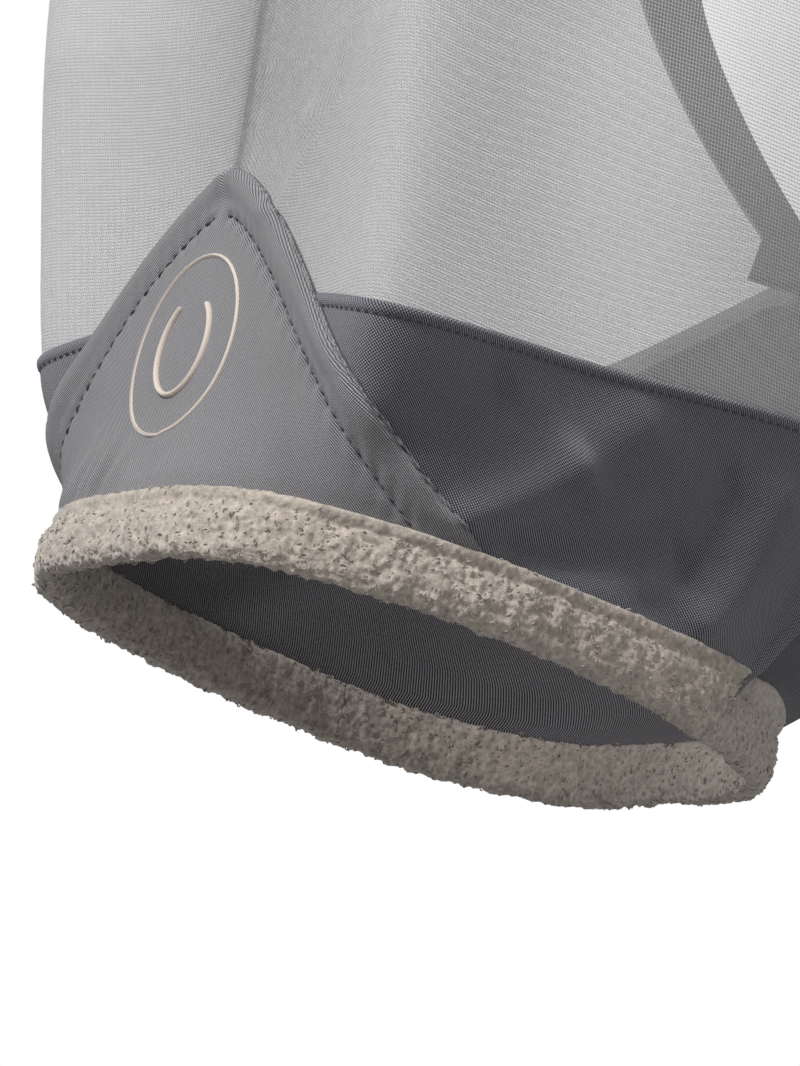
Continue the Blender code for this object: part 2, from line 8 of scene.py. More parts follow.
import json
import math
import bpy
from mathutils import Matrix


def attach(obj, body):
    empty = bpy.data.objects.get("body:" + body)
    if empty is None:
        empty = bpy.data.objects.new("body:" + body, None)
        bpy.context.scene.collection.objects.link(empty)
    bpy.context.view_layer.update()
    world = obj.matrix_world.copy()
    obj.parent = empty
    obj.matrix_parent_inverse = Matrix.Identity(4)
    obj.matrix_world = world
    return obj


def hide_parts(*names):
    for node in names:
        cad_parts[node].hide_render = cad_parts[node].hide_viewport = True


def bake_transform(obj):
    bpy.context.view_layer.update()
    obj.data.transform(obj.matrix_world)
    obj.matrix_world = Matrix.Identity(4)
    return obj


bl_info = {
    "name": "Fly Mask Maker",
    "version": (1, 0, 0),
    "blender": (4, 5, 0),
    "location": "3D View > Sidebar > Fly Mask",
    "description": "Makes the cloth, net, fleece, stitching and stage of a horse fly mask",
    "category": "Add Mesh",
}

import bpy
import numpy as np
from mathutils import Matrix

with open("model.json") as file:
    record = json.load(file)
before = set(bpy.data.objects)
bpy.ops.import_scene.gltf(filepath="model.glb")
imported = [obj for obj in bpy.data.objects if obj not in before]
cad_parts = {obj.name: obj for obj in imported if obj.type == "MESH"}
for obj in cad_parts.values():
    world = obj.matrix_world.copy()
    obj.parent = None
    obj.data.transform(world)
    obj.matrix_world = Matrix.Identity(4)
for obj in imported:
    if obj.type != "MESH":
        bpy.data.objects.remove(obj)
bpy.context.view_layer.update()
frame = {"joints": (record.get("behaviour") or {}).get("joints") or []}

# The lay surface, as the frame's own pieces have it.
RIM_HALF_WIDTH = 0.087
NOSE_DEPTH = 0.1225
JAW_DEPTH = 0.068
EYE_SPREAD = 0.046
EYE_RUN = 0.220
POLL_NARROWING = 0.062
JAW_FLARE = 0.125
JAW_FLARE_RUN = 0.110
FLARE_FOOT = 0.0165
THROAT_TUCK = 0.030
BROW_TURN_RUN = 0.270
BROW_TURN_RADIUS = 0.190
MASK_RUN = 0.530
DOME_DEPTH = 0.034
FRONT_SQUARENESS = 0.58
JAW_SQUARENESS = 0.56
JAW_CROWN = 1.1
GIRTH_RADIUS = 0.098

# Cuts of the pieces.
BAND_RUN = 0.0735
BAND_DIP = 0.0065
BAND_CHEEK = 0.0085
BAND_RISE = 0.116
PATCH_RUN = 0.112
PATCH_SPREAD = math.radians(72)
FLAP_EDGE_FOOT = math.radians(113)
FLAP_EDGE_HEAD = math.radians(139)
UNDERLAP_END = math.radians(-262)
THROAT_RUN = 0.338
THROAT_WIDTH = 0.045
BROW_RUN = 0.400
BROW_WIDTH = 0.034
CROWN_WIDTH = 0.040

# The mask's two sides: the sign of x, and the word in names.
SIDES = ((1, "left"), (-1, "right"))

# Heights of the layers over the lay surface.
NET_OUT = 0.0001
BAND_OUT = 0.0005
BAND_FACE = 0.0009
PATCH_OUT = 0.0014
PATCH_FACE = 0.0018
LINING_OUT = -0.0006
LINING_FACE = -0.0009
STRAP_OUT = 0.0042
THROAT_LIFT = 0.0065


def ease(value, low, high):
    """Smooth step: three times the share squared less twice its cube, 0 at low and 1 at high."""
    share = np.clip((value - low) / (high - low), 0.0, 1.0)
    return share * share * (3 - 2 * share)


def lay(angle, run):
    """The lay surface: x is half width times a power of the sine, y eases from front to jaw with the
    cosine, z is the run, which turns back over the poll on a circle; two eye domes stand proud."""
    angle, run = np.broadcast_arrays(np.asarray(angle, float), np.asarray(run, float))
    angle = (angle + math.pi) % (2 * math.pi) - math.pi
    past = np.maximum(run - BROW_TURN_RUN, 0.0)
    height = np.minimum(run, BROW_TURN_RUN) + BROW_TURN_RADIUS * np.sin(past / BROW_TURN_RADIUS)
    wide = RIM_HALF_WIDTH + EYE_SPREAD * ease(run, 0.0, EYE_RUN)
    wide = wide - POLL_NARROWING * ease(run, EYE_RUN + 0.03, MASK_RUN)
    hollow = 0.005 * ease(run, 0.0, 0.05) - 0.010 * ease(run, 0.09, 0.20)
    front_y = -NOSE_DEPTH + hollow + BROW_TURN_RADIUS * (1 - np.cos(past / BROW_TURN_RADIUS))
    jaw_y = JAW_DEPTH + JAW_FLARE * (1 - np.exp(-np.maximum(run - FLARE_FOOT, 0.0) / JAW_FLARE_RUN))
    jaw_y = jaw_y - THROAT_TUCK * ease(run, 0.34, MASK_RUN)
    middle = 0.090 * ease(run, 0.26, MASK_RUN)
    across, along = np.sin(angle), np.cos(angle)
    side = np.sign(across)
    squareness = np.where(along > 0, FRONT_SQUARENESS, JAW_SQUARENESS)
    x = wide * side * np.abs(across) ** squareness
    front = middle - (middle - front_y) * np.abs(along)
    rear = middle + (jaw_y - middle) * np.abs(along) ** JAW_CROWN
    rise = (1 - np.exp(-np.maximum(run, 0.0) / 0.05)) * ease(run, 0.0, 0.062)
    peak = math.radians(40) - math.radians(14) * np.clip((run - 0.05) / 0.10, 0.0, 1.0)
    spread = np.exp(-(((np.abs(angle) - peak) / math.radians(14.5)) ** 2))
    dome = DOME_DEPTH * rise * (1 - ease(run, 0.24, 0.38)) * spread
    return np.stack([x + dome * 0.574 * side, np.where(along > 0, front, rear) - dome * 0.819, height], -1)


def outwards(angle, run):
    """The lay surface's unit normal: the cross product of small differences along and up it."""
    over = lay(angle + 0.002, run) - lay(angle - 0.002, run)
    up = lay(angle, run + 1e-4) - lay(angle, run - 1e-4)
    normal = np.cross(over, up)
    return normal / np.linalg.norm(normal, axis=-1, keepdims=True)


# Lengths round the head, worked out once: a column for each eighth of a degree, a row for each run.
TABLE_COLUMNS = 3761
TABLE_ROWS = 54
FRONT_COLUMN = 2160
TABLE_ANGLES = np.radians(np.linspace(-270, 200, TABLE_COLUMNS))
TABLE_RUNS = np.linspace(0.0, MASK_RUN, TABLE_ROWS)
TABLE_STEPS = np.linalg.norm(np.diff(lay(TABLE_ANGLES[None, :], TABLE_RUNS[:, None]), axis=1), axis=-1)
TABLE_GIRTH = np.hstack([np.zeros((TABLE_ROWS, 1)), np.cumsum(TABLE_STEPS, axis=1)])
TABLE_GIRTH = TABLE_GIRTH - TABLE_GIRTH[:, FRONT_COLUMN:FRONT_COLUMN + 1]


def girth(angle, run):
    """Length round the head from the middle of the face to an angle, at a run: the lengths of short
    steps of the lay surface added up, and read off evenly between the table's rows and columns."""
    angle, run = np.broadcast_arrays(np.asarray(angle, float), np.asarray(run, float))
    column = (angle - TABLE_ANGLES[0]) / (TABLE_ANGLES[1] - TABLE_ANGLES[0])
    row = run / (TABLE_RUNS[1] - TABLE_RUNS[0])
    left = np.clip(np.floor(column).astype(int), 0, TABLE_COLUMNS - 2)
    low = np.clip(np.floor(row).astype(int), 0, TABLE_ROWS - 2)
    x, y = column - left, row - low
    under = TABLE_GIRTH[low, left] * (1 - x) + TABLE_GIRTH[low, left + 1] * x
    over = TABLE_GIRTH[low + 1, left] * (1 - x) + TABLE_GIRTH[low + 1, left + 1] * x
    return under * (1 - y) + over * y


def flat_cut(angle, run):
    """A place's flat cut coordinates: the length round and the run, both in metres."""
    angle, run = np.broadcast_arrays(angle, run)
    return np.stack([girth(angle, run), run], -1)


def ridge(around, run, start, end, width, height):
    """A fold: height times a bell curve of the distance from a line between two places, each given
    as degrees round the head and metres up it."""
    x, y = around, run
    ax, ay = float(girth(math.radians(start[0]), 0.05)), start[1]
    dx, dy = float(girth(math.radians(end[0]), 0.05)) - ax, end[1] - ay
    share = np.clip(((x - ax) * dx + (y - ay) * dy) / (dx * dx + dy * dy), 0.0, 1.0)
    apart = np.hypot(x - ax - share * dx, y - ay - share * dy)
    return height * np.exp(-((apart / width) ** 2))


FOLDS = (
    # start and end as (degrees, run), then width and height in metres
    ((50, 0.026), (66, 0.048), 0.0055, 0.0034),
    ((66, 0.048), (78, 0.064), 0.0070, 0.0022),
    ((56, 0.020), (80, 0.036), 0.0055, -0.0026),
    ((40, 0.036), (56, 0.058), 0.0060, -0.0020),
    ((84, 0.022), (104, 0.060), 0.0070, 0.0027),
    ((76, 0.020), (92, 0.058), 0.0060, -0.0023),
    ((94, 0.020), (114, 0.060), 0.0060, -0.0024),
    ((100, 0.018), (124, 0.045), 0.0050, 0.0022),
    ((22, 0.018), (15, 0.060), 0.0060, 0.0007),
    ((-60, 0.020), (-90, 0.050), 0.0070, 0.0011),
    ((-110, 0.020), (-150, 0.060), 0.0070, -0.0012),
    ((6, 0.098), (10, 0.122), 0.0040, 0.0012),
    ((10, 0.122), (27, 0.150), 0.0050, 0.0016),
    ((0, 0.112), (0, 0.270), 0.0060, 0.0012),
)


def relief(angle, run):
    """The folds that all layers share: the list above, and gathers over the fleece right of the
    middle, which are a sine of the length round that leans with the run and fades out upwards."""
    angle, run = np.broadcast_arrays(np.asarray(angle, float), np.asarray(run, float))
    around = girth(angle, run)
    total = np.zeros(angle.shape)
    for start, end, width, height in FOLDS:
        total = total + ridge(around, run, start, end, width, height)
    leaning = around - 0.25 * (run - 0.018) + 0.0012 * np.sin(around * 230)
    gather = np.sin(2 * math.pi * leaning / 0.0088) + 0.4 * np.sin(2 * math.pi * leaning / 0.0151)
    gather = gather * ease(around, -0.075, -0.050) * ease(-around, -0.016, 0.004)
    total = total + 0.0011 * gather * (1 - ease(run, 0.020, 0.041))
    return total * ease(run, 0.014, 0.024)


def place(angle, run, out):
    """A layer's points: the lay surface plus its normal times the height and the shared folds."""
    angle, run, out = np.broadcast_arrays(angle, run, np.asarray(out, float))
    return lay(angle, run) + outwards(angle, run) * (out + relief(angle, run))[..., None]


def band_top(angle):
    """Run of the nose band's top edge: level in front, dipped at the corner, higher at the cheek and
    rising along the jaw."""
    angle = np.abs(np.asarray(angle, float))
    angle = np.minimum(angle, 2 * math.pi - angle)
    rise = BAND_RISE * np.clip((angle - math.radians(96)) / math.radians(44), 0.0, 1.0)
    cheek = BAND_CHEEK * ease(angle, math.radians(58), math.radians(104))
    cheek = cheek * (1 - ease(angle, math.radians(100), math.radians(128)))
    dip = BAND_DIP * np.exp(-(((angle - math.radians(37)) / math.radians(15)) ** 2))
    return BAND_RUN + rise + cheek - dip


def patch_edge(run, inset=0.0):
    """Half the patch's angle at a run: a power of the share left to its peak, rounded at the tip."""
    share = np.clip(1 - (run + inset) / PATCH_RUN, 0.0, 1.0)
    return PATCH_SPREAD * share**1.35 + math.radians(2.4) * share**0.5


def rear_edge(run):
    """Angle of the net's rear edge: a parabola in the run, level past 30 degrees."""
    return math.radians(113) + np.minimum(2100 * (run - 0.322) ** 2, 30) * math.radians(1)


def flap_edge(run):
    """Angle of the nose flap's free edge at a run."""
    lean = math.radians(8) * np.clip(1 - run / 0.018, 0.0, 1.0)
    return FLAP_EDGE_FOOT + (FLAP_EDGE_HEAD - FLAP_EDGE_FOOT) * run / band_top(FLAP_EDGE_HEAD) - lean


def tuck(angle, run):
    """How far the underlap lies inside the lay surface under the flap, most at the fleece."""
    depth = 0.0092 - 0.0045 * ease(run, 0.019, 0.040)
    return -depth * ease(-np.asarray(angle, float), math.radians(188), math.radians(222))


def lattice_noise(points, size, seed):
    """Smooth noise from -1 to 1: random numbers at the corners of a cubic lattice, eased between."""
    spot = points / size + 1000.0
    cell = np.floor(spot).astype(np.int64)
    share = spot - cell
    share = share * share * (3 - 2 * share)

    def corner(dx, dy, dz):
        mixed = (cell[..., 0] + dx) * 73856093 ^ (cell[..., 1] + dy) * 19349663
        mixed = (mixed ^ (cell[..., 2] + dz) * 83492791 ^ seed * 2654435761) & 0xFFFFFFFF
        mixed = (mixed ^ (mixed >> 13)) * 1274126177 & 0xFFFFFFFF
        return (mixed ^ (mixed >> 16)) / 4294967295.0 * 2 - 1

    x, y, z = share[..., 0], share[..., 1], share[..., 2]
    low = (corner(0, 0, 0) * (1 - x) + corner(1, 0, 0) * x) * (1 - y)
    low = low + (corner(0, 1, 0) * (1 - x) + corner(1, 1, 0) * x) * y
    high = (corner(0, 0, 1) * (1 - x) + corner(1, 0, 1) * x) * (1 - y)
    high = high + (corner(0, 1, 1) * (1 - x) + corner(1, 1, 1) * x) * y
    return low * (1 - z) + high * z


# ---------------------------------------------------------------- meshes


def grid_faces(rows, columns, around=False):
    """Quads of a rows by columns grid, facing out when columns go round and rows go up."""
    low = np.arange(rows - 1)[:, None] * columns
    step = np.arange(columns if around else columns - 1)[None, :]
    beside = (step + 1) % columns
    quads = np.stack([low + step, low + beside, low + columns + beside, low + columns + step], -1)
    return quads.reshape(-1, 4)


def mesh_of(name, points, faces, cut=None, smooth=True):
    """A mesh object from whole arrays; cut holds each point's place on the flat cloth, in metres."""
    mesh = bpy.data.meshes.new(name)
    mesh.from_pydata(points.reshape(-1, 3), [], faces)
    if cut is not None:
        layer = mesh.uv_layers.new(name="cut")
        layer.data.foreach_set("uv", cut.reshape(-1, 2)[faces.ravel()].ravel())
    mesh.polygons.foreach_set("use_smooth", np.full(len(faces), smooth))
    mesh.update()
    piece = bpy.data.objects.new(name, mesh)
    bpy.context.scene.collection.objects.link(piece)
    return piece


def finish(piece, material, body, nodes):
    """Gives a piece its material and body, and hides the nodes it replaces."""
    piece.data.materials.clear()
    piece.data.materials.append(material)
    if body:
        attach(piece, body)
    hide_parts(*nodes)
    return piece


def walled(piece, thick):
    """Gives a sheet its wall: half to each side of its surface."""
    wall = piece.modifiers.new("wall", "SOLIDIFY")
    wall.thickness = thick
    wall.offset = 0.0
    return piece


def cut_size(points):
    """A cut's width, length and area in metres: its longest row and column, and its faces' sum."""
    rows = np.linalg.norm(np.diff(points, axis=1), axis=-1).sum(1)
    columns = np.linalg.norm(np.diff(points, axis=0), axis=-1).sum(0)
    first = points[1:, 1:] - points[:-1, :-1]
    second = points[1:, :-1] - points[:-1, 1:]
    area = np.linalg.norm(np.cross(first, second), axis=-1).sum() / 2
    return float(rows.max()), float(columns.max()), float(area)


def declare_cloth(points):
    """Works out a cloth piece's width, length and area, the area kept between 0.31 times and once its width
    times length; nothing is done with them.
    """
    width, length, area = cut_size(points)
    area = min(max(area, 0.31 * width * length), width * length)


def cloth_piece(name, angles, runs, out, thick, material, body, nodes):
    """A sheet on the lay surface with a wall, its flat cut measured in metres round and up."""
    angles, runs = np.broadcast_arrays(angles, runs)
    points = place(angles, runs, out)
    piece = mesh_of(name, points, grid_faces(*angles.shape), flat_cut(angles, runs))
    walled(piece, thick)
    finish(piece, material, body, nodes)
    declare_cloth(points)
    return piece


def stitch_line(name, angles, runs, out, pitch, radius, material, body, nodes):
    """A row of stitches: each is a six sided thread that dips into the cloth at both ends.
    Along the line, the height over the cloth is a half sine of the share along the stitch."""
    path = lay(angles, runs)
    along = np.concatenate([[0.0], np.cumsum(np.linalg.norm(np.diff(path, axis=0), axis=1))])
    count = max(int(along[-1] / pitch), 2)
    share = np.linspace(0.0, 1.0, 7)[None, :]
    spots = (np.arange(count)[:, None] + 0.5) * along[-1] / count + (share - 0.5) * pitch * 0.78
    angle = np.interp(spots, along, angles)
    run = np.interp(spots, along, runs)
    height = np.interp(spots, along, np.broadcast_to(out, angles.shape))
    arch = np.sin(share * math.pi)
    centre = place(angle, run, height + radius * (1.7 * arch - 1.0))
    ahead = np.gradient(centre, axis=1)
    ahead = ahead / np.linalg.norm(ahead, axis=-1, keepdims=True)
    upward = outwards(angle, run)
    beside = np.cross(ahead, upward)
    beside = beside / np.linalg.norm(beside, axis=-1, keepdims=True)
    upward = np.cross(beside, ahead)
    turn = np.arange(6) / 6 * 2 * math.pi
    thick = radius * (0.35 + 0.65 * arch[..., None, None] ** 0.5)
    ring = np.cos(turn)[:, None] * beside[..., None, :] + np.sin(turn)[:, None] * upward[..., None, :]
    points = centre[..., None, :] + ring * thick
    one = grid_faces(7, 6, around=True)
    faces = (one[None] + (np.arange(count) * 42)[:, None, None]).reshape(-1, 4)
    caps = []
    for start, order in ((0, (5, 4, 3, 2, 1, 0)), (36, (0, 1, 2, 3, 4, 5))):
        for trio in ((order[0], order[1], order[2], order[3]), (order[0], order[3], order[4], order[5])):
            caps.append([start + spot for spot in trio])
    caps = (np.array(caps)[None] + (np.arange(count) * 42)[:, None, None]).reshape(-1, 4)
    faces = np.vstack([faces, caps])
    cut = np.broadcast_to(flat_cut(angle, run)[:, :, None, :], points.shape[:-1] + (2,))
    piece = mesh_of(name, points, faces, cut)
    return finish(piece, material, body, nodes)


def thread_tube(name, points, radius, sides, material, body, nodes, closed=False, flatten=1.0):
    """A cord: a circle, or an oval flattened along the normal, carried along a line of points."""
    ahead = np.roll(points, -1, 0) - np.roll(points, 1, 0) if closed else np.gradient(points, axis=0)
    ahead = ahead / np.linalg.norm(ahead, axis=-1, keepdims=True)
    middle = points.mean(0)
    upward = points - middle
    upward = upward - (upward * ahead).sum(-1, keepdims=True) * ahead
    upward = upward / np.linalg.norm(upward, axis=-1, keepdims=True)
    beside = np.cross(ahead, upward)
    turn = np.arange(sides) / sides * 2 * math.pi
    ring = np.cos(turn)[:, None] * beside[:, None, :] + flatten * np.sin(turn)[:, None] * upward[:, None, :]
    rings = points[:, None, :] + ring * radius
    along = np.concatenate([[0.0], np.cumsum(np.linalg.norm(np.diff(points, axis=0), axis=1))])
    cut = np.stack(np.broadcast_arrays(along[:, None], turn[None, :] * radius), -1)
    if closed:
        rings = np.vstack([rings, rings[:1]])
        cut = np.vstack([cut, cut[:1]])
    rows = len(rings)
    faces = grid_faces(rows, sides, around=True)[:, ::-1]
    if closed:
        faces = np.where(faces >= (rows - 1) * sides, faces - (rows - 1) * sides, faces)
        rings, cut = rings[:-1], cut[:-1]
    flat, cut = rings.reshape(-1, 3), cut.reshape(-1, 2)
    if not closed:
        flat = np.vstack([flat, points[:1], points[-1:]])
        cut = np.vstack([cut, cut[:1], cut[-1:]])
        first, last = rows * sides, rows * sides + 1
        spot = np.arange(sides)
        next_spot = (spot + 1) % sides
        top = (rows - 1) * sides
        low = np.stack([np.full(sides, first), spot, next_spot], -1)
        high = np.stack([np.full(sides, last), top + next_spot, top + spot], -1)
        piece = mesh_of_mixed(name, flat, faces, np.vstack([low, high]), cut)
    else:
        piece = mesh_of(name, flat, faces, cut)
    return finish(piece, material, body, nodes)


def mesh_of_mixed(name, points, quads, triangles, cut):
    """A mesh object of quads and triangles from whole arrays."""
    mesh = bpy.data.meshes.new(name)
    mesh.from_pydata(points.tolist(), [], quads.tolist() + triangles.tolist())
    layer = mesh.uv_layers.new(name="cut")
    order = np.concatenate([quads.ravel(), triangles.ravel()])
    layer.data.foreach_set("uv", cut[order].ravel())
    mesh.polygons.foreach_set("use_smooth", np.full(len(mesh.polygons), True))
    mesh.update()
    piece = bpy.data.objects.new(name, mesh)
    bpy.context.scene.collection.objects.link(piece)
    return piece


# ---------------------------------------------------------------- materials


def shade(red, green, blue):
    """A linear colour from 0 to 255 display values."""
    shown = np.array([red, green, blue]) / 255.0
    linear = np.where(shown <= 0.04045, shown / 12.92, ((shown + 0.055) / 1.055) ** 2.4)
    return (*linear.tolist(), 1.0)


class Nodes:
    """A short hand for building one material's node tree."""

    def __init__(self, name):
        self.material = bpy.data.materials.new(name)
        self.material.use_nodes = True
        self.tree = self.material.node_tree
        self.shader = self.tree.nodes["Principled BSDF"]

    def new(self, kind, **values):
        node = self.tree.nodes.new(kind)
        for key, value in values.items():
            setattr(node, key, value)
        return node

    def join(self, source, target):
        self.tree.links.new(source, target)

    def math(self, operation, first, second=None):
        node = self.new("ShaderNodeMath", operation=operation)
        for socket, value in zip(node.inputs, (first, second)):
            if value is None:
                continue
            if isinstance(value, (int, float)):
                socket.default_value = value
            else:
                self.join(value, socket)
        return node.outputs[0]

    def add(self, first, second):
        return self.math("ADD", first, second)

    def times(self, first, second):
        return self.math("MULTIPLY", first, second)

    def minus(self, first, second):
        return self.math("SUBTRACT", first, second)

    def cut(self):
        """The two flat cut coordinates, in metres."""
        place_node = self.new("ShaderNodeUVMap", uv_map="cut")
        split = self.new("ShaderNodeSeparateXYZ")
        self.join(place_node.outputs["UV"], split.inputs[0])
        return split.outputs[0], split.outputs[1]

    def wave(self, value, pitch, phase=0.0):
        """A sine of the value with that pitch, from 0 to 1."""
        turned = self.add(self.times(value, 2 * math.pi / pitch), phase)
        return self.add(self.times(self.math("SINE", turned), 0.5), 0.5)

    def noise(self, scale, detail=2.0, rough=0.5, source="Object"):
        spot = self.new("ShaderNodeTexCoord")
        node = self.new("ShaderNodeTexNoise")
        node.inputs["Scale"].default_value = scale
        node.inputs["Detail"].default_value = detail
        node.inputs["Roughness"].default_value = rough
        self.join(spot.outputs[source], node.inputs["Vector"])
        return node.outputs["Fac"]

    def tint(self, base, share, low=0.8, high=1.2):
        """The base colour made darker and lighter by a share from 0 to 1."""
        blend = self.new("ShaderNodeMix", data_type="RGBA")
        blend.inputs[6].default_value = (*[part * low for part in base[:3]], 1.0)
        blend.inputs[7].default_value = (*[min(part * high, 1.0) for part in base[:3]], 1.0)
        self.join(share, blend.inputs[0])
        return blend.outputs[2]

    def bump(self, height, distance, strength=1.0):
        node = self.new("ShaderNodeBump")
        node.inputs["Distance"].default_value = distance
        node.inputs["Strength"].default_value = strength
        self.join(height, node.inputs["Height"])
        self.join(node.outputs["Normal"], self.shader.inputs["Normal"])

    def surface(self, roughness, sheen=0.0, specular=0.3):
        self.shader.inputs["Roughness"].default_value = roughness
        self.shader.inputs["Sheen Weight"].default_value = sheen
        self.shader.inputs["Specular IOR Level"].default_value = specular
        self.shader.inputs["Metallic"].default_value = 0.0


def knit_material(name, base, pitch, slant=0.6, depth=0.00045, sheen=0.30, low=0.02, high=2.75):
    """Fine twill knit: slanted ribs crossed by short loops, with slow colour changes."""
    nodes = Nodes(name)
    round_it, up_it = nodes.cut()
    slanted = nodes.add(round_it, nodes.times(up_it, slant))
    ribs = nodes.wave(slanted, pitch)
    loops = nodes.wave(nodes.minus(up_it, nodes.times(round_it, slant)), pitch * 0.8)
    weave = nodes.times(ribs, nodes.add(nodes.times(loops, 0.6), 0.4))
    slow = nodes.noise(28.0, 3.0)
    fine = nodes.noise(900.0, 2.0)
    share = nodes.add(nodes.times(weave, 1.40), nodes.times(slow, 0.18))
    share = nodes.add(share, nodes.times(fine, 0.12))
    share = nodes.minus(share, 0.18)
    nodes.join(nodes.tint(base, share, low, high), nodes.shader.inputs["Base Color"])
    nodes.bump(nodes.add(weave, nodes.times(fine, 0.4)), depth)
    nodes.surface(0.78, sheen, 0.25)
    nodes.shader.inputs["Sheen Roughness"].default_value = 0.45
    return nodes.material


def net_material(name, base, pitch, open_share, seam=0.0):
    """See-through net: rows of weft and finer warp threads; where neither lies it is nearly open. A
    seam closes it further along the line where the length round is nought."""
    nodes = Nodes(name)
    round_it, up_it = nodes.cut()
    weft = nodes.wave(up_it, pitch)
    warp = nodes.wave(round_it, pitch * 0.97)
    soft_weft = nodes.math("POWER", weft, 1.6)
    soft_warp = nodes.math("POWER", warp, 2.2)
    cover = nodes.add(nodes.times(soft_weft, 0.36), nodes.times(soft_warp, 0.20))
    cloud = nodes.times(nodes.minus(nodes.noise(22.0, 3.0), 0.5), 0.10)
    base_cover = 1.0 - open_share
    rear = nodes.new("ShaderNodeMapRange", interpolation_type="SMOOTHSTEP")
    nodes.join(nodes.math("ABSOLUTE", round_it), rear.inputs["Value"])
    for socket, value in (("From Min", 0.165), ("From Max", 0.205), ("To Min", 0.0), ("To Max", 0.15)):
        rear.inputs[socket].default_value = value
    cover = nodes.add(cover, rear.outputs[0])
    # Over the nose the net is closer and towards the side it opens, which makes the front net darker.
    side = nodes.math("MINIMUM", nodes.math("DIVIDE", nodes.math("ABSOLUTE", round_it), 0.15), 1.0)
    cloud = nodes.add(cloud, nodes.minus(0.09, nodes.times(side, 0.13)))
    alpha = nodes.add(nodes.add(cover, base_cover - 0.21), cloud)
    if seam:
        away = nodes.math("POWER", nodes.math("DIVIDE", nodes.math("ABSOLUTE", round_it), 0.0011), 2.0)
        alpha = nodes.add(alpha, nodes.times(nodes.math("EXPONENT", nodes.times(away, -1.0)), seam))
    alpha = nodes.math("MINIMUM", nodes.math("MAXIMUM", alpha, 0.04), 0.95)
    # The sheet has two faces close together, so each lets through the root of what both do.
    alpha = nodes.minus(1.0, nodes.math("POWER", nodes.minus(1.0, alpha), 0.5))
    nodes.join(alpha, nodes.shader.inputs["Alpha"])
    share = nodes.add(nodes.times(warp, 0.6), nodes.times(nodes.noise(300.0), 0.4))
    # The threads are a shade darker over the nose too.
    share = nodes.add(nodes.times(share, 0.4), nodes.times(side, 0.6))
    nodes.join(nodes.tint(base, share, 0.12, 1.50), nodes.shader.inputs["Base Color"])
    nodes.bump(nodes.add(soft_weft, soft_warp), 0.00015)
    nodes.surface(0.6, 0.2, 0.3)
    return nodes.material


def fleece_material(name, base):
    """Curly pile in clumps of about a millimetre: random lighter and darker specks, the darker ones also
    painted shade of the pits between the curls.
    """
    nodes = Nodes(name)
    curls = nodes.noise(620.0, 3.0, 0.6)
    clumps = nodes.noise(150.0, 3.0, 0.55)
    share = nodes.add(nodes.times(curls, 1.7), nodes.times(clumps, 0.7))
    share = nodes.minus(share, 0.70)
    nodes.join(nodes.tint(base, share, 0.50, 1.40), nodes.shader.inputs["Base Color"])
    nodes.bump(nodes.add(curls, clumps), 0.0006, 0.8)
    nodes.surface(0.95, 0.5, 0.1)
    nodes.shader.inputs["Sheen Roughness"].default_value = 0.6
    return nodes.material


def thread_material(name, base, pitch=0.0006):
    """Twisted sewing thread: fine slanted plies along it."""
    nodes = Nodes(name)
    round_it, up_it = nodes.cut()
    twist = nodes.wave(nodes.add(round_it, up_it), pitch)
    nodes.join(nodes.tint(base, twist, 0.75, 1.2), nodes.shader.inputs["Base Color"])
    nodes.bump(twist, 0.00006)
    nodes.surface(0.5, 0.2, 0.4)
    return nodes.material


def tape_material(name, base, pitch):
    """Hook or loop tape: a field of small loops."""
    nodes = Nodes(name)
    round_it, up_it = nodes.cut()
    field = nodes.times(nodes.wave(round_it, pitch), nodes.wave(up_it, pitch))
    fuzz = nodes.noise(700.0, 3.0)
    share = nodes.add(nodes.times(field, 0.6), nodes.times(fuzz, 0.4))
    nodes.join(nodes.tint(base, share, 0.5, 1.7), nodes.shader.inputs["Base Color"])
    nodes.bump(share, 0.0005)
    nodes.surface(0.9, 0.3, 0.2)
    return nodes.material


# ---------------------------------------------------------------- settings


class ClothSettings(bpy.types.PropertyGroup):
    """Sizes and colours of the net, the band and the patch."""

    net_colour: bpy.props.FloatVectorProperty(
        name="Net colour", description="Colour of the net's threads", default=shade(222, 218, 224)[:3],
        subtype="COLOR", size=3, min=0, max=1)
    net_open: bpy.props.FloatProperty(
        name="Net openness", description="Share of light that one net panel lets through", default=0.50,
        min=0.05, max=0.95, subtype="FACTOR")
    net_pitch: bpy.props.FloatProperty(
        name="Net pitch", description="Distance between two rows of the net", default=0.00092,
        unit="LENGTH", precision=5)
    band_colour: bpy.props.FloatVectorProperty(
        name="Band colour", description="Colour of the stretch nose band", default=shade(108, 108, 116)[:3],
        subtype="COLOR", size=3, min=0, max=1)
    patch_colour: bpy.props.FloatVectorProperty(
        name="Patch colour", description="Colour of the front patch", default=shade(150, 148, 152)[:3],
        subtype="COLOR", size=3, min=0, max=1)
    lining_colour: bpy.props.FloatVectorProperty(
        name="Lining colour", description="Colour of the band's lining", default=shade(104, 101, 105)[:3],
        subtype="COLOR", size=3, min=0, max=1)
    knit_pitch: bpy.props.FloatProperty(
        name="Knit pitch", description="Distance between two ribs of the knit", default=0.00080,
        unit="LENGTH", precision=5)
    cloth_thick: bpy.props.FloatProperty(
        name="Cloth thickness", description="Wall of the band's cloth", default=0.0008, unit="LENGTH",
        precision=5)
    stitch_pitch: bpy.props.FloatProperty(
        name="Stitch pitch", description="Distance between two stitches", default=0.0037, unit="LENGTH",
        precision=5)
    stitch_radius: bpy.props.FloatProperty(
        name="Stitch radius", description="Half the thickness of the sewing thread", default=0.00032,
        unit="LENGTH", precision=5)


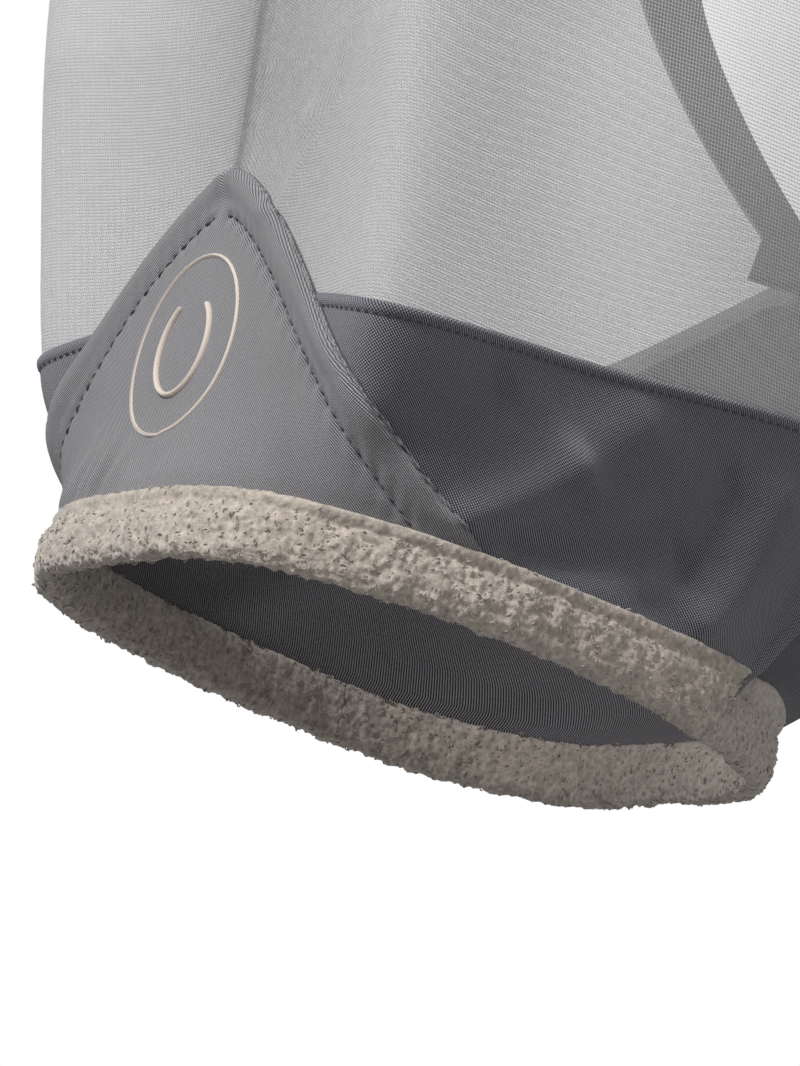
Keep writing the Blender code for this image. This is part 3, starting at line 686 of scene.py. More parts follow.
class FleeceSettings(bpy.types.PropertyGroup):
    """Sizes and colour of the fleece binding."""

    colour: bpy.props.FloatVectorProperty(
        name="Fleece colour", description="Colour of the fleece", default=shade(176, 165, 154)[:3],
        subtype="COLOR", size=3, min=0, max=1)
    pile: bpy.props.FloatProperty(
        name="Pile", description="How far the loops of pile stand out", default=0.00085, unit="LENGTH",
        precision=5)
    loops: bpy.props.IntProperty(
        name="Loops", description="Number of loops of pile on the front length", default=5800,
        min=0, max=6500)


class StageSettings(bpy.types.PropertyGroup):
    """Camera and light."""

    azimuth: bpy.props.FloatProperty(
        name="Azimuth", description="Direction of the camera round the mask", default=math.radians(58.2),
        subtype="ANGLE")
    elevation: bpy.props.FloatProperty(
        name="Elevation", description="Height of the camera, below the nose edge when negative",
        default=math.radians(-12.93), subtype="ANGLE")
    roll: bpy.props.FloatProperty(
        name="Roll", description="Turn of the camera about its own line of sight",
        default=math.radians(15.43), subtype="ANGLE")
    distance: bpy.props.FloatProperty(
        name="Distance", description="From the camera to the middle of the nose opening", default=1.7579,
        unit="LENGTH")
    lens: bpy.props.FloatProperty(
        name="Lens", description="Focal length in millimetres", default=217.9)
    pan: bpy.props.FloatProperty(
        name="Pan", description="Turn of the camera from the nose opening to the picture's middle, sideways",
        default=math.radians(-0.717), subtype="ANGLE")
    tilt: bpy.props.FloatProperty(
        name="Tilt", description="Turn of the camera from the nose opening to the picture's middle, upwards",
        default=math.radians(1.626), subtype="ANGLE")
    key_power: bpy.props.FloatProperty(
        name="Key light", description="Power of the large soft light in watts", default=60.0)
    sky: bpy.props.FloatProperty(
        name="Room light", description="Strength of the even light from all round", default=0.24)


class MaskSettings(bpy.types.PropertyGroup):
    """All settings of the mask maker."""

    cloth: bpy.props.PointerProperty(type=ClothSettings, name="Cloth", description="Net, band and patch")
    fleece: bpy.props.PointerProperty(type=FleeceSettings, name="Fleece", description="Fleece binding")
    stage: bpy.props.PointerProperty(type=StageSettings, name="Stage", description="Camera and light")


def settings():
    return bpy.context.scene.fly_mask


def band_knit(name="nose_band_knit"):
    """The nose band's cloth, made once."""
    made = bpy.data.materials.get(name)
    cloth = settings().cloth
    return made or knit_material(name, cloth.band_colour, cloth.knit_pitch)


def lining_knit():
    made = bpy.data.materials.get("lining_knit")
    cloth = settings().cloth
    return made or knit_material("lining_knit", cloth.lining_colour, cloth.knit_pitch, 0.2, sheen=0.15)


def dark_thread():
    made = bpy.data.materials.get("dark_thread")
    return made or thread_material("dark_thread", shade(74, 74, 80))


def fleece_pile():
    made = bpy.data.materials.get("fleece_pile")
    return made or fleece_material("fleece_pile", settings().fleece.colour)


# ---------------------------------------------------------------- operators


class MASK_OT_net(bpy.types.Operator):
    """Make the two face net panels and the tape over their seam"""

    bl_idname = "fly_mask.net"
    bl_label = "Face net"

    def execute(self, context):
        cloth = settings().cloth
        net = net_material("face_net", cloth.net_colour, cloth.net_pitch, cloth.net_open)
        across, up = np.linspace(0.0, 1.0, 120)[None, :], np.linspace(0.0, 1.0, 190)[:, None]
        for side, hand in SIDES:
            name = f"net_panel_{hand}"
            low_end = math.radians(142)
            foot = across**1.5 * low_end
            start = band_top(foot) - 0.008
            runs = start + (BROW_RUN - start) * up
            rear_runs = band_top(low_end) - 0.008 + (BROW_RUN - band_top(low_end) + 0.008) * up
            angles = foot + (rear_edge(rear_runs) - low_end) * ease(across, 0.15, 1.0)
            points = place(side * angles, runs, NET_OUT)
            # Near the seam the net is pulled aslant, so its rows climb towards the eye.
            lobe = np.interp(runs, [0.09, 0.105, 0.1225, 0.141, 0.2], np.radians([4, 5.5, 10, 24.8, 30]))
            around = girth(angles, runs)
            slant = 0.55 * np.minimum(around - girth(lobe, runs), 0.0) * (side > 0)
            cut = np.stack([side * around, runs + slant], -1)
            faces = grid_faces(190, 120)
            piece = mesh_of(name, points, faces if side > 0 else faces[:, ::-1], cut)
            walled(piece, 0.00012)
            finish(piece, net, "mask", [f"{hand}_face_net"])
            declare_cloth(points)
        runs = np.linspace(band_top(0.0), BROW_RUN - BROW_WIDTH - 0.002, 160)[:, None]
        reach = np.linspace(-0.0054, 0.0054, 9)
        angles = np.interp(reach, girth(TABLE_ANGLES, 0.15), TABLE_ANGLES)[None, :]
        tape = net_material("seam_tape_net", cloth.net_colour, cloth.net_pitch * 0.6, 0.90, seam=0.45)
        cloth_piece("seam_tape_cloth", angles, runs, -0.0006, 0.0002, tape, "mask", ["middle_seam_tape"])
        return {"FINISHED"}


def band_grid(first, last, columns, rows, low, drop=0.0):
    """Angles and runs of a band from its foot to its top edge; first and last are functions of the
    run, and the rows are shared out evenly in each column."""
    up = np.linspace(0.0, 1.0, rows)[:, None]
    across = np.linspace(0.0, 1.0, columns)[None, :]
    guess = first(0.05) + (last(0.05) - first(0.05)) * across
    runs = low + (band_top(guess) - drop - low) * up
    for _ in range(4):
        angles = first(runs) + (last(runs) - first(runs)) * across
        runs = low + (band_top(angles[-1]) - drop - low) * up
    return first(runs) + (last(runs) - first(runs)) * across, runs


def hem_relief(angles, runs):
    """Height of the folded top hem: full over its width, pulled down along its stitch line."""
    below = band_top(angles) - runs
    fold = 0.0008 * ease(below, -0.0004, 0.0008) * (1 - ease(below, 0.0022, 0.0030))
    return fold - 0.0003 * np.exp(-(((below - 0.0027) / 0.0006) ** 2))


class MASK_OT_nose_band(bpy.types.Operator):
    """Make the nose band's outer cloth and its lining, with the closing flap"""

    bl_idname = "fly_mask.nose_band"
    bl_label = "Nose band"

    def execute(self, context):
        cloth = settings().cloth
        def at(value):
            return lambda run: np.full(np.shape(run), value)

        for name, node, out, drop, material, thick in (
            ("nose_band_cloth", "nose_band", BAND_OUT, 0.0, band_knit(), cloth.cloth_thick),
            ("nose_band_inside", "nose_band_lining", LINING_OUT, 0.009, lining_knit(), 0.0005),
        ):
            for side, first, last, columns in (
                ("right", at(UNDERLAP_END), at(-0.0002), 520),
                ("left", at(0.0002), flap_edge, 320),
            ):
                angles, runs = band_grid(first, last, columns, 84, 0.004, drop)
                height = out + (tuck(angles, runs) if side == "right" else 0.0)
                if out > 0:
                    height = height + hem_relief(angles, runs)
                    if side == "left":
                        apart = (flap_edge(runs) - angles) * GIRTH_RADIUS
                        height = height + 0.0004 * (1 - ease(apart, 0.004, 0.0055)) * ease(apart, 0.0, 0.001)
                points = place(angles, runs, height)
                piece = mesh_of(f"{name}_{side}", points, grid_faces(*angles.shape), flat_cut(angles, runs))
                walled(piece, thick)
                nodes = [f"{node}_{side}"]
                if side == "left":
                    nodes.append("nose_flap" if out > 0 else "nose_flap_lining")
                finish(piece, material, "mask" if side == "right" else None, nodes)
                declare_cloth(points)
                if side == "left":
                    bend_at_fold(piece)
        return {"FINISHED"}


def hinge(name):
    """A joint's unit axis and its place."""
    joint = next(joint for joint in frame["joints"] if joint["name"] == name)
    return np.array(joint["axis"]) / np.linalg.norm(joint["axis"]), np.array(joint["pos_m"])


def blend_over(piece):
    """Bakes a piece's placement into its mesh."""
    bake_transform(piece)


def bend_at_fold(piece):
    """Works out a strip at right angles to the nose flap's hinge, turned towards the left so that the right
    side of the nose edge would stay behind it, but does not use it: the piece only has its placement baked
    into its mesh."""
    axis, foot = hinge("nose_flap_fold")
    across = np.cross(axis, [1.0, 0.0, 0.0])
    across = across / np.linalg.norm(across)
    if across[1] < 0:
        across = -across
    across = across + 0.6 * (np.array([1.0, 0.0, 0.0]) - axis[0] * axis)
    across = across / np.linalg.norm(across)
    blend_over(piece)


def patch_outline(count, inset):
    """Angles and runs of the patch's outline moved in by a distance, from its right foot over the
    peak to its left foot: half the patch's angle as a function of the run, mirrored."""
    peak = PATCH_RUN - inset * 1.35
    runs = 0.0185 + (peak - 0.0185) * np.sin(np.linspace(0.0, math.pi / 2, count))
    half = patch_edge(runs, inset * 1.3)
    angles = np.concatenate([-half[:-1], [0.0], half[-2::-1]])
    return angles, np.concatenate([runs[:-1], [peak], runs[-2::-1]])


def distance_to_outline(angles, runs, inset):
    """Distance from each place to the nearest point of the patch's outline moved in by an inset."""
    spots = lay(angles, runs).reshape(-1, 1, 3)
    line = lay(*patch_outline(160, inset))[None, ::2, :]
    return np.min(np.linalg.norm(spots - line, axis=-1), 1).reshape(angles.shape)


class MASK_OT_patch(bpy.types.Operator):
    """Make the peaked front patch, its edge cord and its topstitch"""

    bl_idname = "fly_mask.patch"
    bl_label = "Front patch"

    def execute(self, context):
        cloth = settings().cloth
        twill = knit_material("patch_twill", cloth.patch_colour, cloth.knit_pitch * 0.95, 1.0,
                              low=0.20, high=2.0)
        up = np.linspace(0.0, 1.0, 150)[:, None]
        across = np.linspace(-1.0, 1.0, 221)[None, :]
        runs = 0.004 + (PATCH_RUN - 0.0006 - 0.004) * np.sin(up * math.pi / 2) ** 0.9
        angles = patch_edge(runs) * across
        runs = np.broadcast_to(runs, angles.shape)
        to_edge, to_stitch = distance_to_outline(angles, runs, 0.0), distance_to_outline(angles, runs, 0.010)
        rim = ease(to_edge, 0.0, 0.0026) * (1 - 0.6 * ease(to_edge, 0.004, 0.0095))
        puff = (0.0023 * rim - 0.0011 * np.exp(-((to_stitch / 0.0015) ** 2))) * ease(runs, 0.017, 0.024)
        pucker = 0.00032 * np.sin(girth(angles, runs) * 1300) * np.exp(-((to_stitch / 0.0035) ** 2))
        points = place(angles, runs, PATCH_OUT + puff + pucker)
        piece = mesh_of("patch_cloth", points, grid_faces(*angles.shape), flat_cut(angles, runs))
        walled(piece, 0.0007)
        finish(piece, twill, "mask", ["nose_patch"])
        declare_cloth(points)
        angles, runs = patch_outline(160, 0.0004)
        line = place(angles, runs, BAND_FACE + 0.0004)
        thread_tube("patch_cord", line, 0.0006, 8, dark_thread(), "mask", ["patch_edge_cord"])
        angles, runs = patch_outline(160, 0.010)
        stitch_line("patch_stitches", angles, runs, PATCH_FACE + 0.0001, cloth.stitch_pitch,
                    cloth.stitch_radius, dark_thread(), "mask", ["patch_topstitch"])
        return {"FINISHED"}


def on_front(x, run, out):
    """A point of the patch at a distance x from its middle line, found by interpolating the lay
    surface's sideways reach."""
    angles = np.linspace(0.0, math.radians(60), 400)
    reach = lay(angles[None, :], run[:, None])[..., 0]
    angle = np.array([np.interp(abs(far), row, angles) for far, row in zip(x, reach)])
    return place(np.sign(x) * angle, run, out)


class MASK_OT_emblem(bpy.types.Operator):
    """Make the embroidered oval and horseshoe on the patch"""

    bl_idname = "fly_mask.emblem"
    bl_label = "Emblem"

    def execute(self, context):
        silk = thread_material("emblem_silk", shade(222, 208, 196), 0.0005)
        out = PATCH_FACE + 0.0007
        turn = np.linspace(0.0, 2 * math.pi, 241)[:-1]
        line = on_front(0.0235 * np.sin(turn), 0.061 + 0.026 * np.cos(turn), out)
        thread_tube("emblem_oval", line, 0.00075, 10, silk, "mask", ["motif_oval"], closed=True, flatten=0.8)
        sweep = np.radians(np.linspace(-145, 145, 160))
        line = on_front(0.0115 * np.sin(sweep), 0.061 - 0.014 * np.cos(sweep), out + 0.0001)
        thread_tube("emblem_horseshoe", line, 0.00130, 10, silk, "mask", ["motif_horseshoe"], flatten=0.6)
        return {"FINISHED"}


# Points of the fleece's section that show, and the first of them on the inner leg.
PILE_POINTS = 84
INNER_LEG = 40


def fleece_profile():
    """The closed section of the folded fleece as (run, height) pairs: a sewn lip with a groove under
    it, the round outer leg, the turn under the edge, the inner leg and back up round the cloth inside
    it. Points lie close on the pile and far apart where the fleece lies against the cloth."""
    back = -0.0030
    corners = np.array([
        (0.0180, 0.0001), (0.0182, 0.0010), (0.0172, 0.0016), (0.0152, 0.0015), (0.0141, 0.0006),
        (0.0130, 0.0017), (0.0105, 0.0024), (0.0060, 0.0025), (0.0015, 0.0021), (-0.0012, 0.0004),
        (-0.0017, -0.0014), (-0.0010, back - 0.0008), (0.0016, back - 0.0022), (0.0060, back - 0.0026),
        (0.0110, back - 0.0022), (0.0140, back - 0.0015), (0.0160, back - 0.0003),
    ])
    along = np.concatenate([[0.0], np.cumsum(np.linalg.norm(np.diff(corners, axis=0), axis=1))])
    spots = np.linspace(0.0, along[-1], PILE_POINTS)
    section = np.stack([np.interp(spots, along, corners[:, 0]), np.interp(spots, along, corners[:, 1])], -1)
    for _ in range(3):
        section[1:-1] = 0.25 * section[:-2] + 0.5 * section[1:-1] + 0.25 * section[2:]
    hidden = np.array([(0.0150, back), (0.0080, back), (0.0030, back), (0.0022, back * 0.5), (0.0030, 0.0),
                       (0.0080, 0.0), (0.0140, 0.0)])
    return np.vstack([section, hidden]), np.concatenate([np.ones(PILE_POINTS), np.zeros(len(hidden))])


def curls_on(name, points, normals, weights, count, height, seed):
    """Curled loops of pile: thin three sided arches that stand in the fleece at both ends. The line is
    the root plus the lean times the share less a half, plus the normal times a parabola of it."""
    rng = np.random.default_rng(seed)
    picked = rng.choice(len(points), size=count, p=weights / weights.sum())
    root = points[picked] + rng.normal(0.0, 0.0002, (count, 3))
    normal = normals[picked]
    lean = rng.normal(0.0, 1.0, (count, 3))
    lean = lean - (lean * normal).sum(-1, keepdims=True) * normal
    lean = lean / np.linalg.norm(lean, axis=-1, keepdims=True)
    beside = np.cross(normal, lean)
    share = np.linspace(0.0, 1.0, 6)
    wide = rng.uniform(0.0009, 0.0017, (count, 1, 1))
    tall = height * rng.uniform(0.45, 1.0, (count, 1, 1))
    swing = rng.normal(0.0, 0.0004, (count, 1, 1))
    rise = (4 * share * (1 - share))[None, :, None]
    line = root[:, None, :] + lean[:, None, :] * wide * (share - 0.5)[None, :, None]
    line = line + normal[:, None, :] * (tall * rise - 0.0006) + beside[:, None, :] * swing * rise
    ahead = np.gradient(line, axis=1)
    ahead = ahead / np.linalg.norm(ahead, axis=-1, keepdims=True)
    over = np.cross(ahead, beside[:, None, :])
    turn = np.arange(3) / 3 * 2 * math.pi
    ring = np.cos(turn)[:, None] * beside[:, None, None, :] + np.sin(turn)[:, None] * over[:, :, None, :]
    strands = line[:, :, None, :] + ring * 0.00024
    one = grid_faces(6, 3, around=True)
    faces = (one[None] + (np.arange(count) * 18)[:, None, None]).reshape(-1, 4)
    strands = strands.reshape(-1, 3)
    piece = mesh_of(name, strands, faces)
    outward_if_needed(piece)
    return piece


def fleece_piece(name, angles, flap_end, body, nodes, curl_count, seed):
    """A length of the binding: the section carried round the nose edge, its pile face roughened by
    noise at four sizes, with small loops of pile standing on it."""
    section, shown = fleece_profile()
    stations, around_count = len(angles), len(section)
    patch = 1 - ease(np.abs(angles), math.radians(66), math.radians(74))
    inner = BAND_FACE + 0.0002 + patch * (PATCH_FACE - BAND_FACE)
    runs = np.broadcast_to(section[:, 0], (stations, around_count))
    heights = section[:, 1] + (inner + tuck(angles, 0.0))[:, None]
    around = np.broadcast_to(angles[:, None], runs.shape)
    if flap_end:
        # The flap's end leans forward towards the nose edge and is rounded at its foot.
        around = around - ease(around, flap_end - 0.3, flap_end) * math.radians(8) * (1 - runs / 0.018)
        near = np.clip((angles - flap_end + 0.045) / 0.045, 0.0, 1.0)[:, None]
        runs = runs + 0.005 * (1 - np.sqrt(1 - near**2)) * (1 - runs / 0.018)
        runs = runs - 0.0035 * ease(around, math.radians(72), math.radians(104)) * (1 - runs / 0.018)
    bare = lay(around, runs) + outwards(around, runs) * heights[..., None]
    weight = np.broadcast_to(shown, runs.shape)
    curly = lattice_noise(bare, 0.0010, seed)
    rough = 0.00045 * curly + 0.00060 * lattice_noise(bare, 0.0021, seed + 7)
    rough = rough + 0.00045 * lattice_noise(bare, 0.0048, seed + 3)
    rough = rough + 0.0004 * lattice_noise(bare, 0.014, seed + 5)
    step_round = np.gradient(bare, axis=0)
    step_over = np.roll(bare, -1, 1) - np.roll(bare, 1, 1)
    normal = np.cross(step_over, step_round)
    normal = normal / np.linalg.norm(normal, axis=-1, keepdims=True)
    if ((bare - bare.mean(1, keepdims=True)) * normal * weight[..., None]).sum() < 0:
        normal = -normal
    lip = 0.45 + 0.55 * (1 - ease(runs, 0.0135, 0.0150)) * ease(np.arange(around_count), 0, 2)
    spot = np.arange(around_count)
    lip = np.where((spot > INNER_LEG) & (spot < PILE_POINTS), 1.0, lip)
    points = bare + normal * (rough * weight * lip)[..., None]
    faces = grid_faces(stations, around_count, around=True)
    ends = []
    half = around_count // 2
    for ring in (np.arange(around_count)[::-1], (stations - 1) * around_count + np.arange(around_count)):
        a, b = ring[:half], ring[half:][::-1][:half]
        ends.append(np.stack([a[:-1], b[:-1], b[1:], a[1:]], -1)[:, ::-1])
    piece = mesh_of(name, points, np.vstack([faces] + ends))
    outward_if_needed(piece)
    finish(piece, fleece_pile(), body, nodes)
    curls = curls_on(f"{name}_curls", points.reshape(-1, 3), normal.reshape(-1, 3), (weight * lip**3).ravel(),
                     curl_count, settings().fleece.pile, seed)
    finish(curls, fleece_pile(), body, nodes)
    return piece, curls


def outward_if_needed(piece):
    """Turns every face over when the closed piece's volume reads as negative."""
    mesh = piece.data
    points = np.empty(len(mesh.vertices) * 3)
    mesh.vertices.foreach_get("co", points)
    points = points.reshape(-1, 3)
    mesh.calc_loop_triangles()
    corners = np.empty(len(mesh.loop_triangles) * 3, np.int32)
    mesh.loop_triangles.foreach_get("vertices", corners)
    a, b, c = points[corners.reshape(-1, 3)].transpose(1, 0, 2)
    if (a * np.cross(b, c)).sum() < 0:
        mesh.flip_normals()


class MASK_OT_fleece(bpy.types.Operator):
    """Make the fleece binding round the nose edge"""

    bl_idname = "fly_mask.fleece"
    bl_label = "Fleece binding"

    def execute(self, context):
        count = settings().fleece.loops
        joint = math.radians(-97)
        end = FLAP_EDGE_FOOT - 0.015
        front = np.interp(np.linspace(girth(joint + 0.002, 0.0), girth(end, 0.0), 800),
                          girth(TABLE_ANGLES, 0.0), TABLE_ANGLES)
        for piece in fleece_piece("fleece_binding_left", front, end, None,
                                  ["fleece_binding_front", "fleece_binding_flap"], count, 11):
            bend_at_fold(piece)
        rear = np.interp(np.linspace(girth(UNDERLAP_END - 0.02, 0.0), girth(joint - 0.002, 0.0), 560),
                         girth(TABLE_ANGLES, 0.0), TABLE_ANGLES)
        fleece_piece("fleece_binding_right", rear, 0.0, "mask", ["fleece_binding_underlap"], count // 2, 23)
        return {"FINISHED"}


def hem_angle(run):
    """Angle at which the rear hem starts, forward of the net's edge."""
    return rear_edge(run) - 0.1207


class MASK_OT_rear_hems(bpy.types.Operator):
    """Make the cloth edging folded over the net's rear edge on each side"""

    bl_idname = "fly_mask.rear_hems"
    bl_label = "Rear hems"

    def execute(self, context):
        runs = np.linspace(band_top(FLAP_EDGE_HEAD) + 0.001, BROW_RUN, 180)
        # The fold as a closed strip: out along the outer face, round the edge, back inside.
        share = np.linspace(0.0, 1.0, 17)
        for side, hand in SIDES:
            start, edge = hem_angle(runs)[:, None], rear_edge(runs)[:, None] + 0.014
            outer = np.concatenate([share, share[::-1]])
            angles = start + (edge - start) * outer[None, :]
            bulge = 0.0022 * np.sqrt(np.clip(1 - outer**6, 0.0, 1.0))
            stitch = 0.0004 * np.exp(-(((outer - 0.10) / 0.05) ** 2))
            height = np.where(np.arange(34) < 17, NET_OUT + bulge - stitch, NET_OUT - bulge + stitch)
            rows = np.broadcast_to(runs[:, None], angles.shape)
            points = place(side * angles, rows, height)
            cut = flat_cut(side * angles, rows)
            faces = grid_faces(180, 34, around=True)
            ends = []
            for ring in (np.arange(34)[::-1], 179 * 34 + np.arange(34)):
                a, b = ring[:17], ring[17:][::-1]
                ends.append(np.stack([a[:-1], a[1:], b[1:], b[:-1]], -1))
            faces = np.vstack([faces] + ends)
            piece = mesh_of(f"rear_hem_{hand}", points, faces, cut)
            outward_if_needed(piece)
            finish(piece, band_knit(), "mask", [f"{hand}_rear_hem"])
        return {"FINISHED"}


class MASK_OT_stitches(bpy.types.Operator):
    """Make the stitch lines under the band's hem"""

    bl_idname = "fly_mask.stitches"
    bl_label = "Stitch lines"

    def execute(self, context):
        cloth = settings().cloth
        for name, first, last, nodes in (
            ("hem_stitches_left", math.radians(16), FLAP_EDGE_HEAD - 0.05,
             ["band_stitch_left", "flap_stitch"]),
            ("hem_stitches_right", math.radians(-196), math.radians(-16), ["band_stitch_right"]),
        ):
            angles = np.linspace(first, last, 400)
            runs = band_top(angles) - 0.0027
            body = None if "left" in name else "mask"
            piece = stitch_line(name, angles, runs, BAND_FACE + 0.0001, cloth.stitch_pitch * 0.75,
                                cloth.stitch_radius * 0.9, dark_thread(), body, nodes)
            if "left" in name:
                bend_at_fold(piece)
        return {"FINISHED"}


class MASK_OT_tapes(bpy.types.Operator):
    """Make the hook and loop tapes of both closures"""

    bl_idname = "fly_mask.tapes"
    bl_label = "Closure tapes"

    def execute(self, context):
        hook = tape_material("hook_tape", shade(52, 52, 54), 0.0016)
        loop = tape_material("loop_tape", shade(60, 60, 63), 0.0011)
        up, across = np.linspace(0.0, 1.0, 90)[:, None], np.linspace(0.0, 1.0, 36)[None, :]
        rear = flap_edge(0.03 + 0.13 * up) - math.radians(3)
        angles = rear - 0.312 * (1 - across)
        runs = 0.048 + (band_top(angles) - 0.015 - 0.048) * up
        cloth_piece("nose_hook_field", angles, runs, LINING_FACE - 0.0010, 0.0011, hook, "nose_flap",
                    ["nose_hook_tape"])
        turned = angles - 2 * math.pi
        raised = BAND_FACE + 0.0009 + tuck(turned, runs)
        cloth_piece("nose_loop_field", turned, runs, raised, 0.0011, loop, "mask", ["nose_loop_tape"])
        low, high = math.radians(146), math.radians(183)
        runs = THROAT_RUN - THROAT_WIDTH / 2 + 0.005 + (THROAT_WIDTH - 0.010) * up
        angles = low + (high - low) * np.linspace(0.0, 1.0, 60)[None, :]
        cloth_piece("throat_hook_field", angles, runs, STRAP_OUT + THROAT_LIFT - 0.0019, 0.0011, hook,
                    "throat_flap", ["throat_hook_tape"])
        cloth_piece("throat_loop_field", angles - 2 * math.pi, runs, STRAP_OUT + 0.0019, 0.0011, loop, "mask",
                    ["throat_loop_tape"])
        return {"FINISHED"}


class MASK_OT_throat(bpy.types.Operator):
    """Make the throat straps; the left one is raised off the mask past its root"""

    bl_idname = "fly_mask.throat"
    bl_label = "Throat straps"

    def execute(self, context):
        root = float(rear_edge(THROAT_RUN))
        up = np.linspace(0.0, 1.0, 40)[:, None]
        low = THROAT_RUN - THROAT_WIDTH / 2

        def strap(name, first, last, lift, nodes, body):
            angles = np.linspace(first, last, 200)[None, :] + 0.0 * up
            end = 0.004 * ease(np.abs(angles - last) * GIRTH_RADIUS, 0.020, 0.0)
            runs = low + end + (THROAT_WIDTH - 2 * end) * up
            edge = np.minimum(up, 1 - up)
            hem = 0.0004 * (1 - ease(edge, 0.10, 0.13)) * ease(edge, 0.0, 0.02)
            raised = STRAP_OUT + hem + (THROAT_LIFT * ease(angles, root + 0.02, root + 0.10) if lift else 0.0)
            points = place(angles, runs, raised)
            piece = mesh_of(name, points, grid_faces(*angles.shape), flat_cut(angles, runs))
            walled(piece, 0.0015)
            finish(piece, band_knit(), body, nodes)
            declare_cloth(points)
            return piece

        strap("throat_strap_cloth_right", math.radians(-232), 0.10 - root, False, ["throat_strap_right"],
              "mask")
        piece = strap("throat_strap_cloth_left", root - 0.10, math.radians(186), True,
                      ["throat_strap_left", "throat_flap"], None)
        axis, foot = hinge("throat_flap_fold")
        ahead = lay(root + 0.12, THROAT_RUN) - lay(root, THROAT_RUN)
        ahead = ahead - (ahead @ axis) * axis
        ahead = ahead / np.linalg.norm(ahead)
        blend_over(piece)
        return {"FINISHED"}


def ear_low(angle):
    """Run of the crown piece's lower edge: above the ears, then down to the brow behind them."""
    drop = (MASK_RUN - CROWN_WIDTH - BROW_RUN) * ease(np.abs(angle), math.radians(78), math.radians(106))
    return MASK_RUN - CROWN_WIDTH - drop + 0.0006


class MASK_OT_poll(bpy.types.Operator):
    """Make the brow band, the crown piece with their fleece, and the bridge between the ears"""

    bl_idname = "fly_mask.poll"
    bl_label = "Brow and crown"

    def execute(self, context):
        up = np.linspace(0.0, 1.0, 50)[:, None]
        end = float(hem_angle(BROW_RUN - BROW_WIDTH)) - 0.05
        angles = np.linspace(-end, end, 420)[None, :] + 0.0 * up
        edge = np.minimum(up, 1 - up)
        hem = 0.0005 * (1 - ease(edge, 0.16, 0.20)) * ease(edge, 0.0, 0.03)
        runs = BROW_RUN - BROW_WIDTH + (BROW_WIDTH - 0.0005) * up + 0.0 * angles
        cloth_piece("brow_cloth", angles, runs, BAND_OUT + hem, 0.0010, band_knit(), "mask", ["brow_band"])
        pile = 0.0004 * lattice_noise(lay(angles, runs), 0.0022, 5)
        cloth_piece("brow_pile", angles, runs, -0.0028 + pile, 0.0028, fleece_pile(), "mask", ["brow_fleece"])
        stop = float(rear_edge(BROW_RUN))
        angles = np.linspace(-stop, stop, 460)[None, :] + 0.0 * up
        low = ear_low(angles)
        runs = low + (MASK_RUN - low) * up
        cloth_piece("crown_cloth", angles, runs, NET_OUT + hem, 0.0010, band_knit(), "mask", ["crown_piece"])
        angles = np.linspace(-stop + 0.024, stop - 0.024, 440)[None, :] + 0.0 * up
        low = ear_low(angles) + 0.003
        runs = low + (MASK_RUN - 0.003 - low) * up
        pile = 0.0004 * lattice_noise(lay(angles, runs), 0.0022, 6)
        cloth_piece("crown_pile", angles, runs, -0.0024 + pile, 0.0028, fleece_pile(), "mask",
                    ["crown_fleece"])
        angles = np.radians(np.linspace(-9, 9, 60))[None, :] + 0.0 * up
        runs = BROW_RUN + 0.0006 + (MASK_RUN - CROWN_WIDTH - BROW_RUN - 0.001) * up + 0.0 * angles
        cloth_piece("bridge_cloth", angles, runs, NET_OUT, 0.0010, band_knit(), "mask", ["poll_bridge"])
        return {"FINISHED"}


class MASK_OT_ear_bindings(bpy.types.Operator):
    """Make the rolled binding round each ear opening"""

    bl_idname = "fly_mask.ear_bindings"
    bl_label = "Ear bindings"

    def execute(self, context):
        turn = np.linspace(0.0, 2 * math.pi, 221)[:-1]
        across = np.sign(np.cos(turn)) * np.abs(np.cos(turn)) ** 0.55
        along = np.sign(np.sin(turn)) * np.abs(np.sin(turn)) ** 0.55
        inner, outer = math.radians(12.2), math.radians(75)
        low, high = BROW_RUN + 0.0035, MASK_RUN - CROWN_WIDTH - 0.0035
        angles = (inner + outer) / 2 + (outer - inner) / 2 * across
        runs = (low + high) / 2 + (high - low) / 2 * along
        for side, hand in SIDES:
            line = place(side * angles, runs, NET_OUT)
            piece = thread_tube(f"ear_roll_{hand}", line, 0.0023, 18, band_knit(), "mask",
                                [f"{hand}_ear_binding"], closed=True)
            outward_if_needed(piece)
        return {"FINISHED"}


class MASK_OT_darts(bpy.types.Operator):
    """Make the tape over the dart that shapes the net round each eye"""

    bl_idname = "fly_mask.darts"
    bl_label = "Dart tapes"

    def execute(self, context):
        runs = np.linspace(0.300, BROW_RUN - BROW_WIDTH - 0.002, 70)[:, None]
        across = np.linspace(-1.0, 1.0, 15)[None, :]
        half = np.radians(3.5) * (0.35 + 0.65 * ease(runs, 0.300, 0.330))
        for side, hand in SIDES:
            angles = side * math.radians(50) + half * across
            cloth_piece(f"dart_cloth_{hand}", angles, runs + 0.0 * across, 0.0021, 0.0009, band_knit(),
                        "mask", [f"{hand}_dart_tape"])
        return {"FINISHED"}


def stand(thing, right, above, back, where):
    """Stands a camera or a light at a place, its three axes given."""
    columns = np.stack([right, above, back, np.array(where, float)], -1)
    thing.matrix_world = Matrix(np.vstack([columns, [0.0, 0.0, 0.0, 1.0]]).tolist())


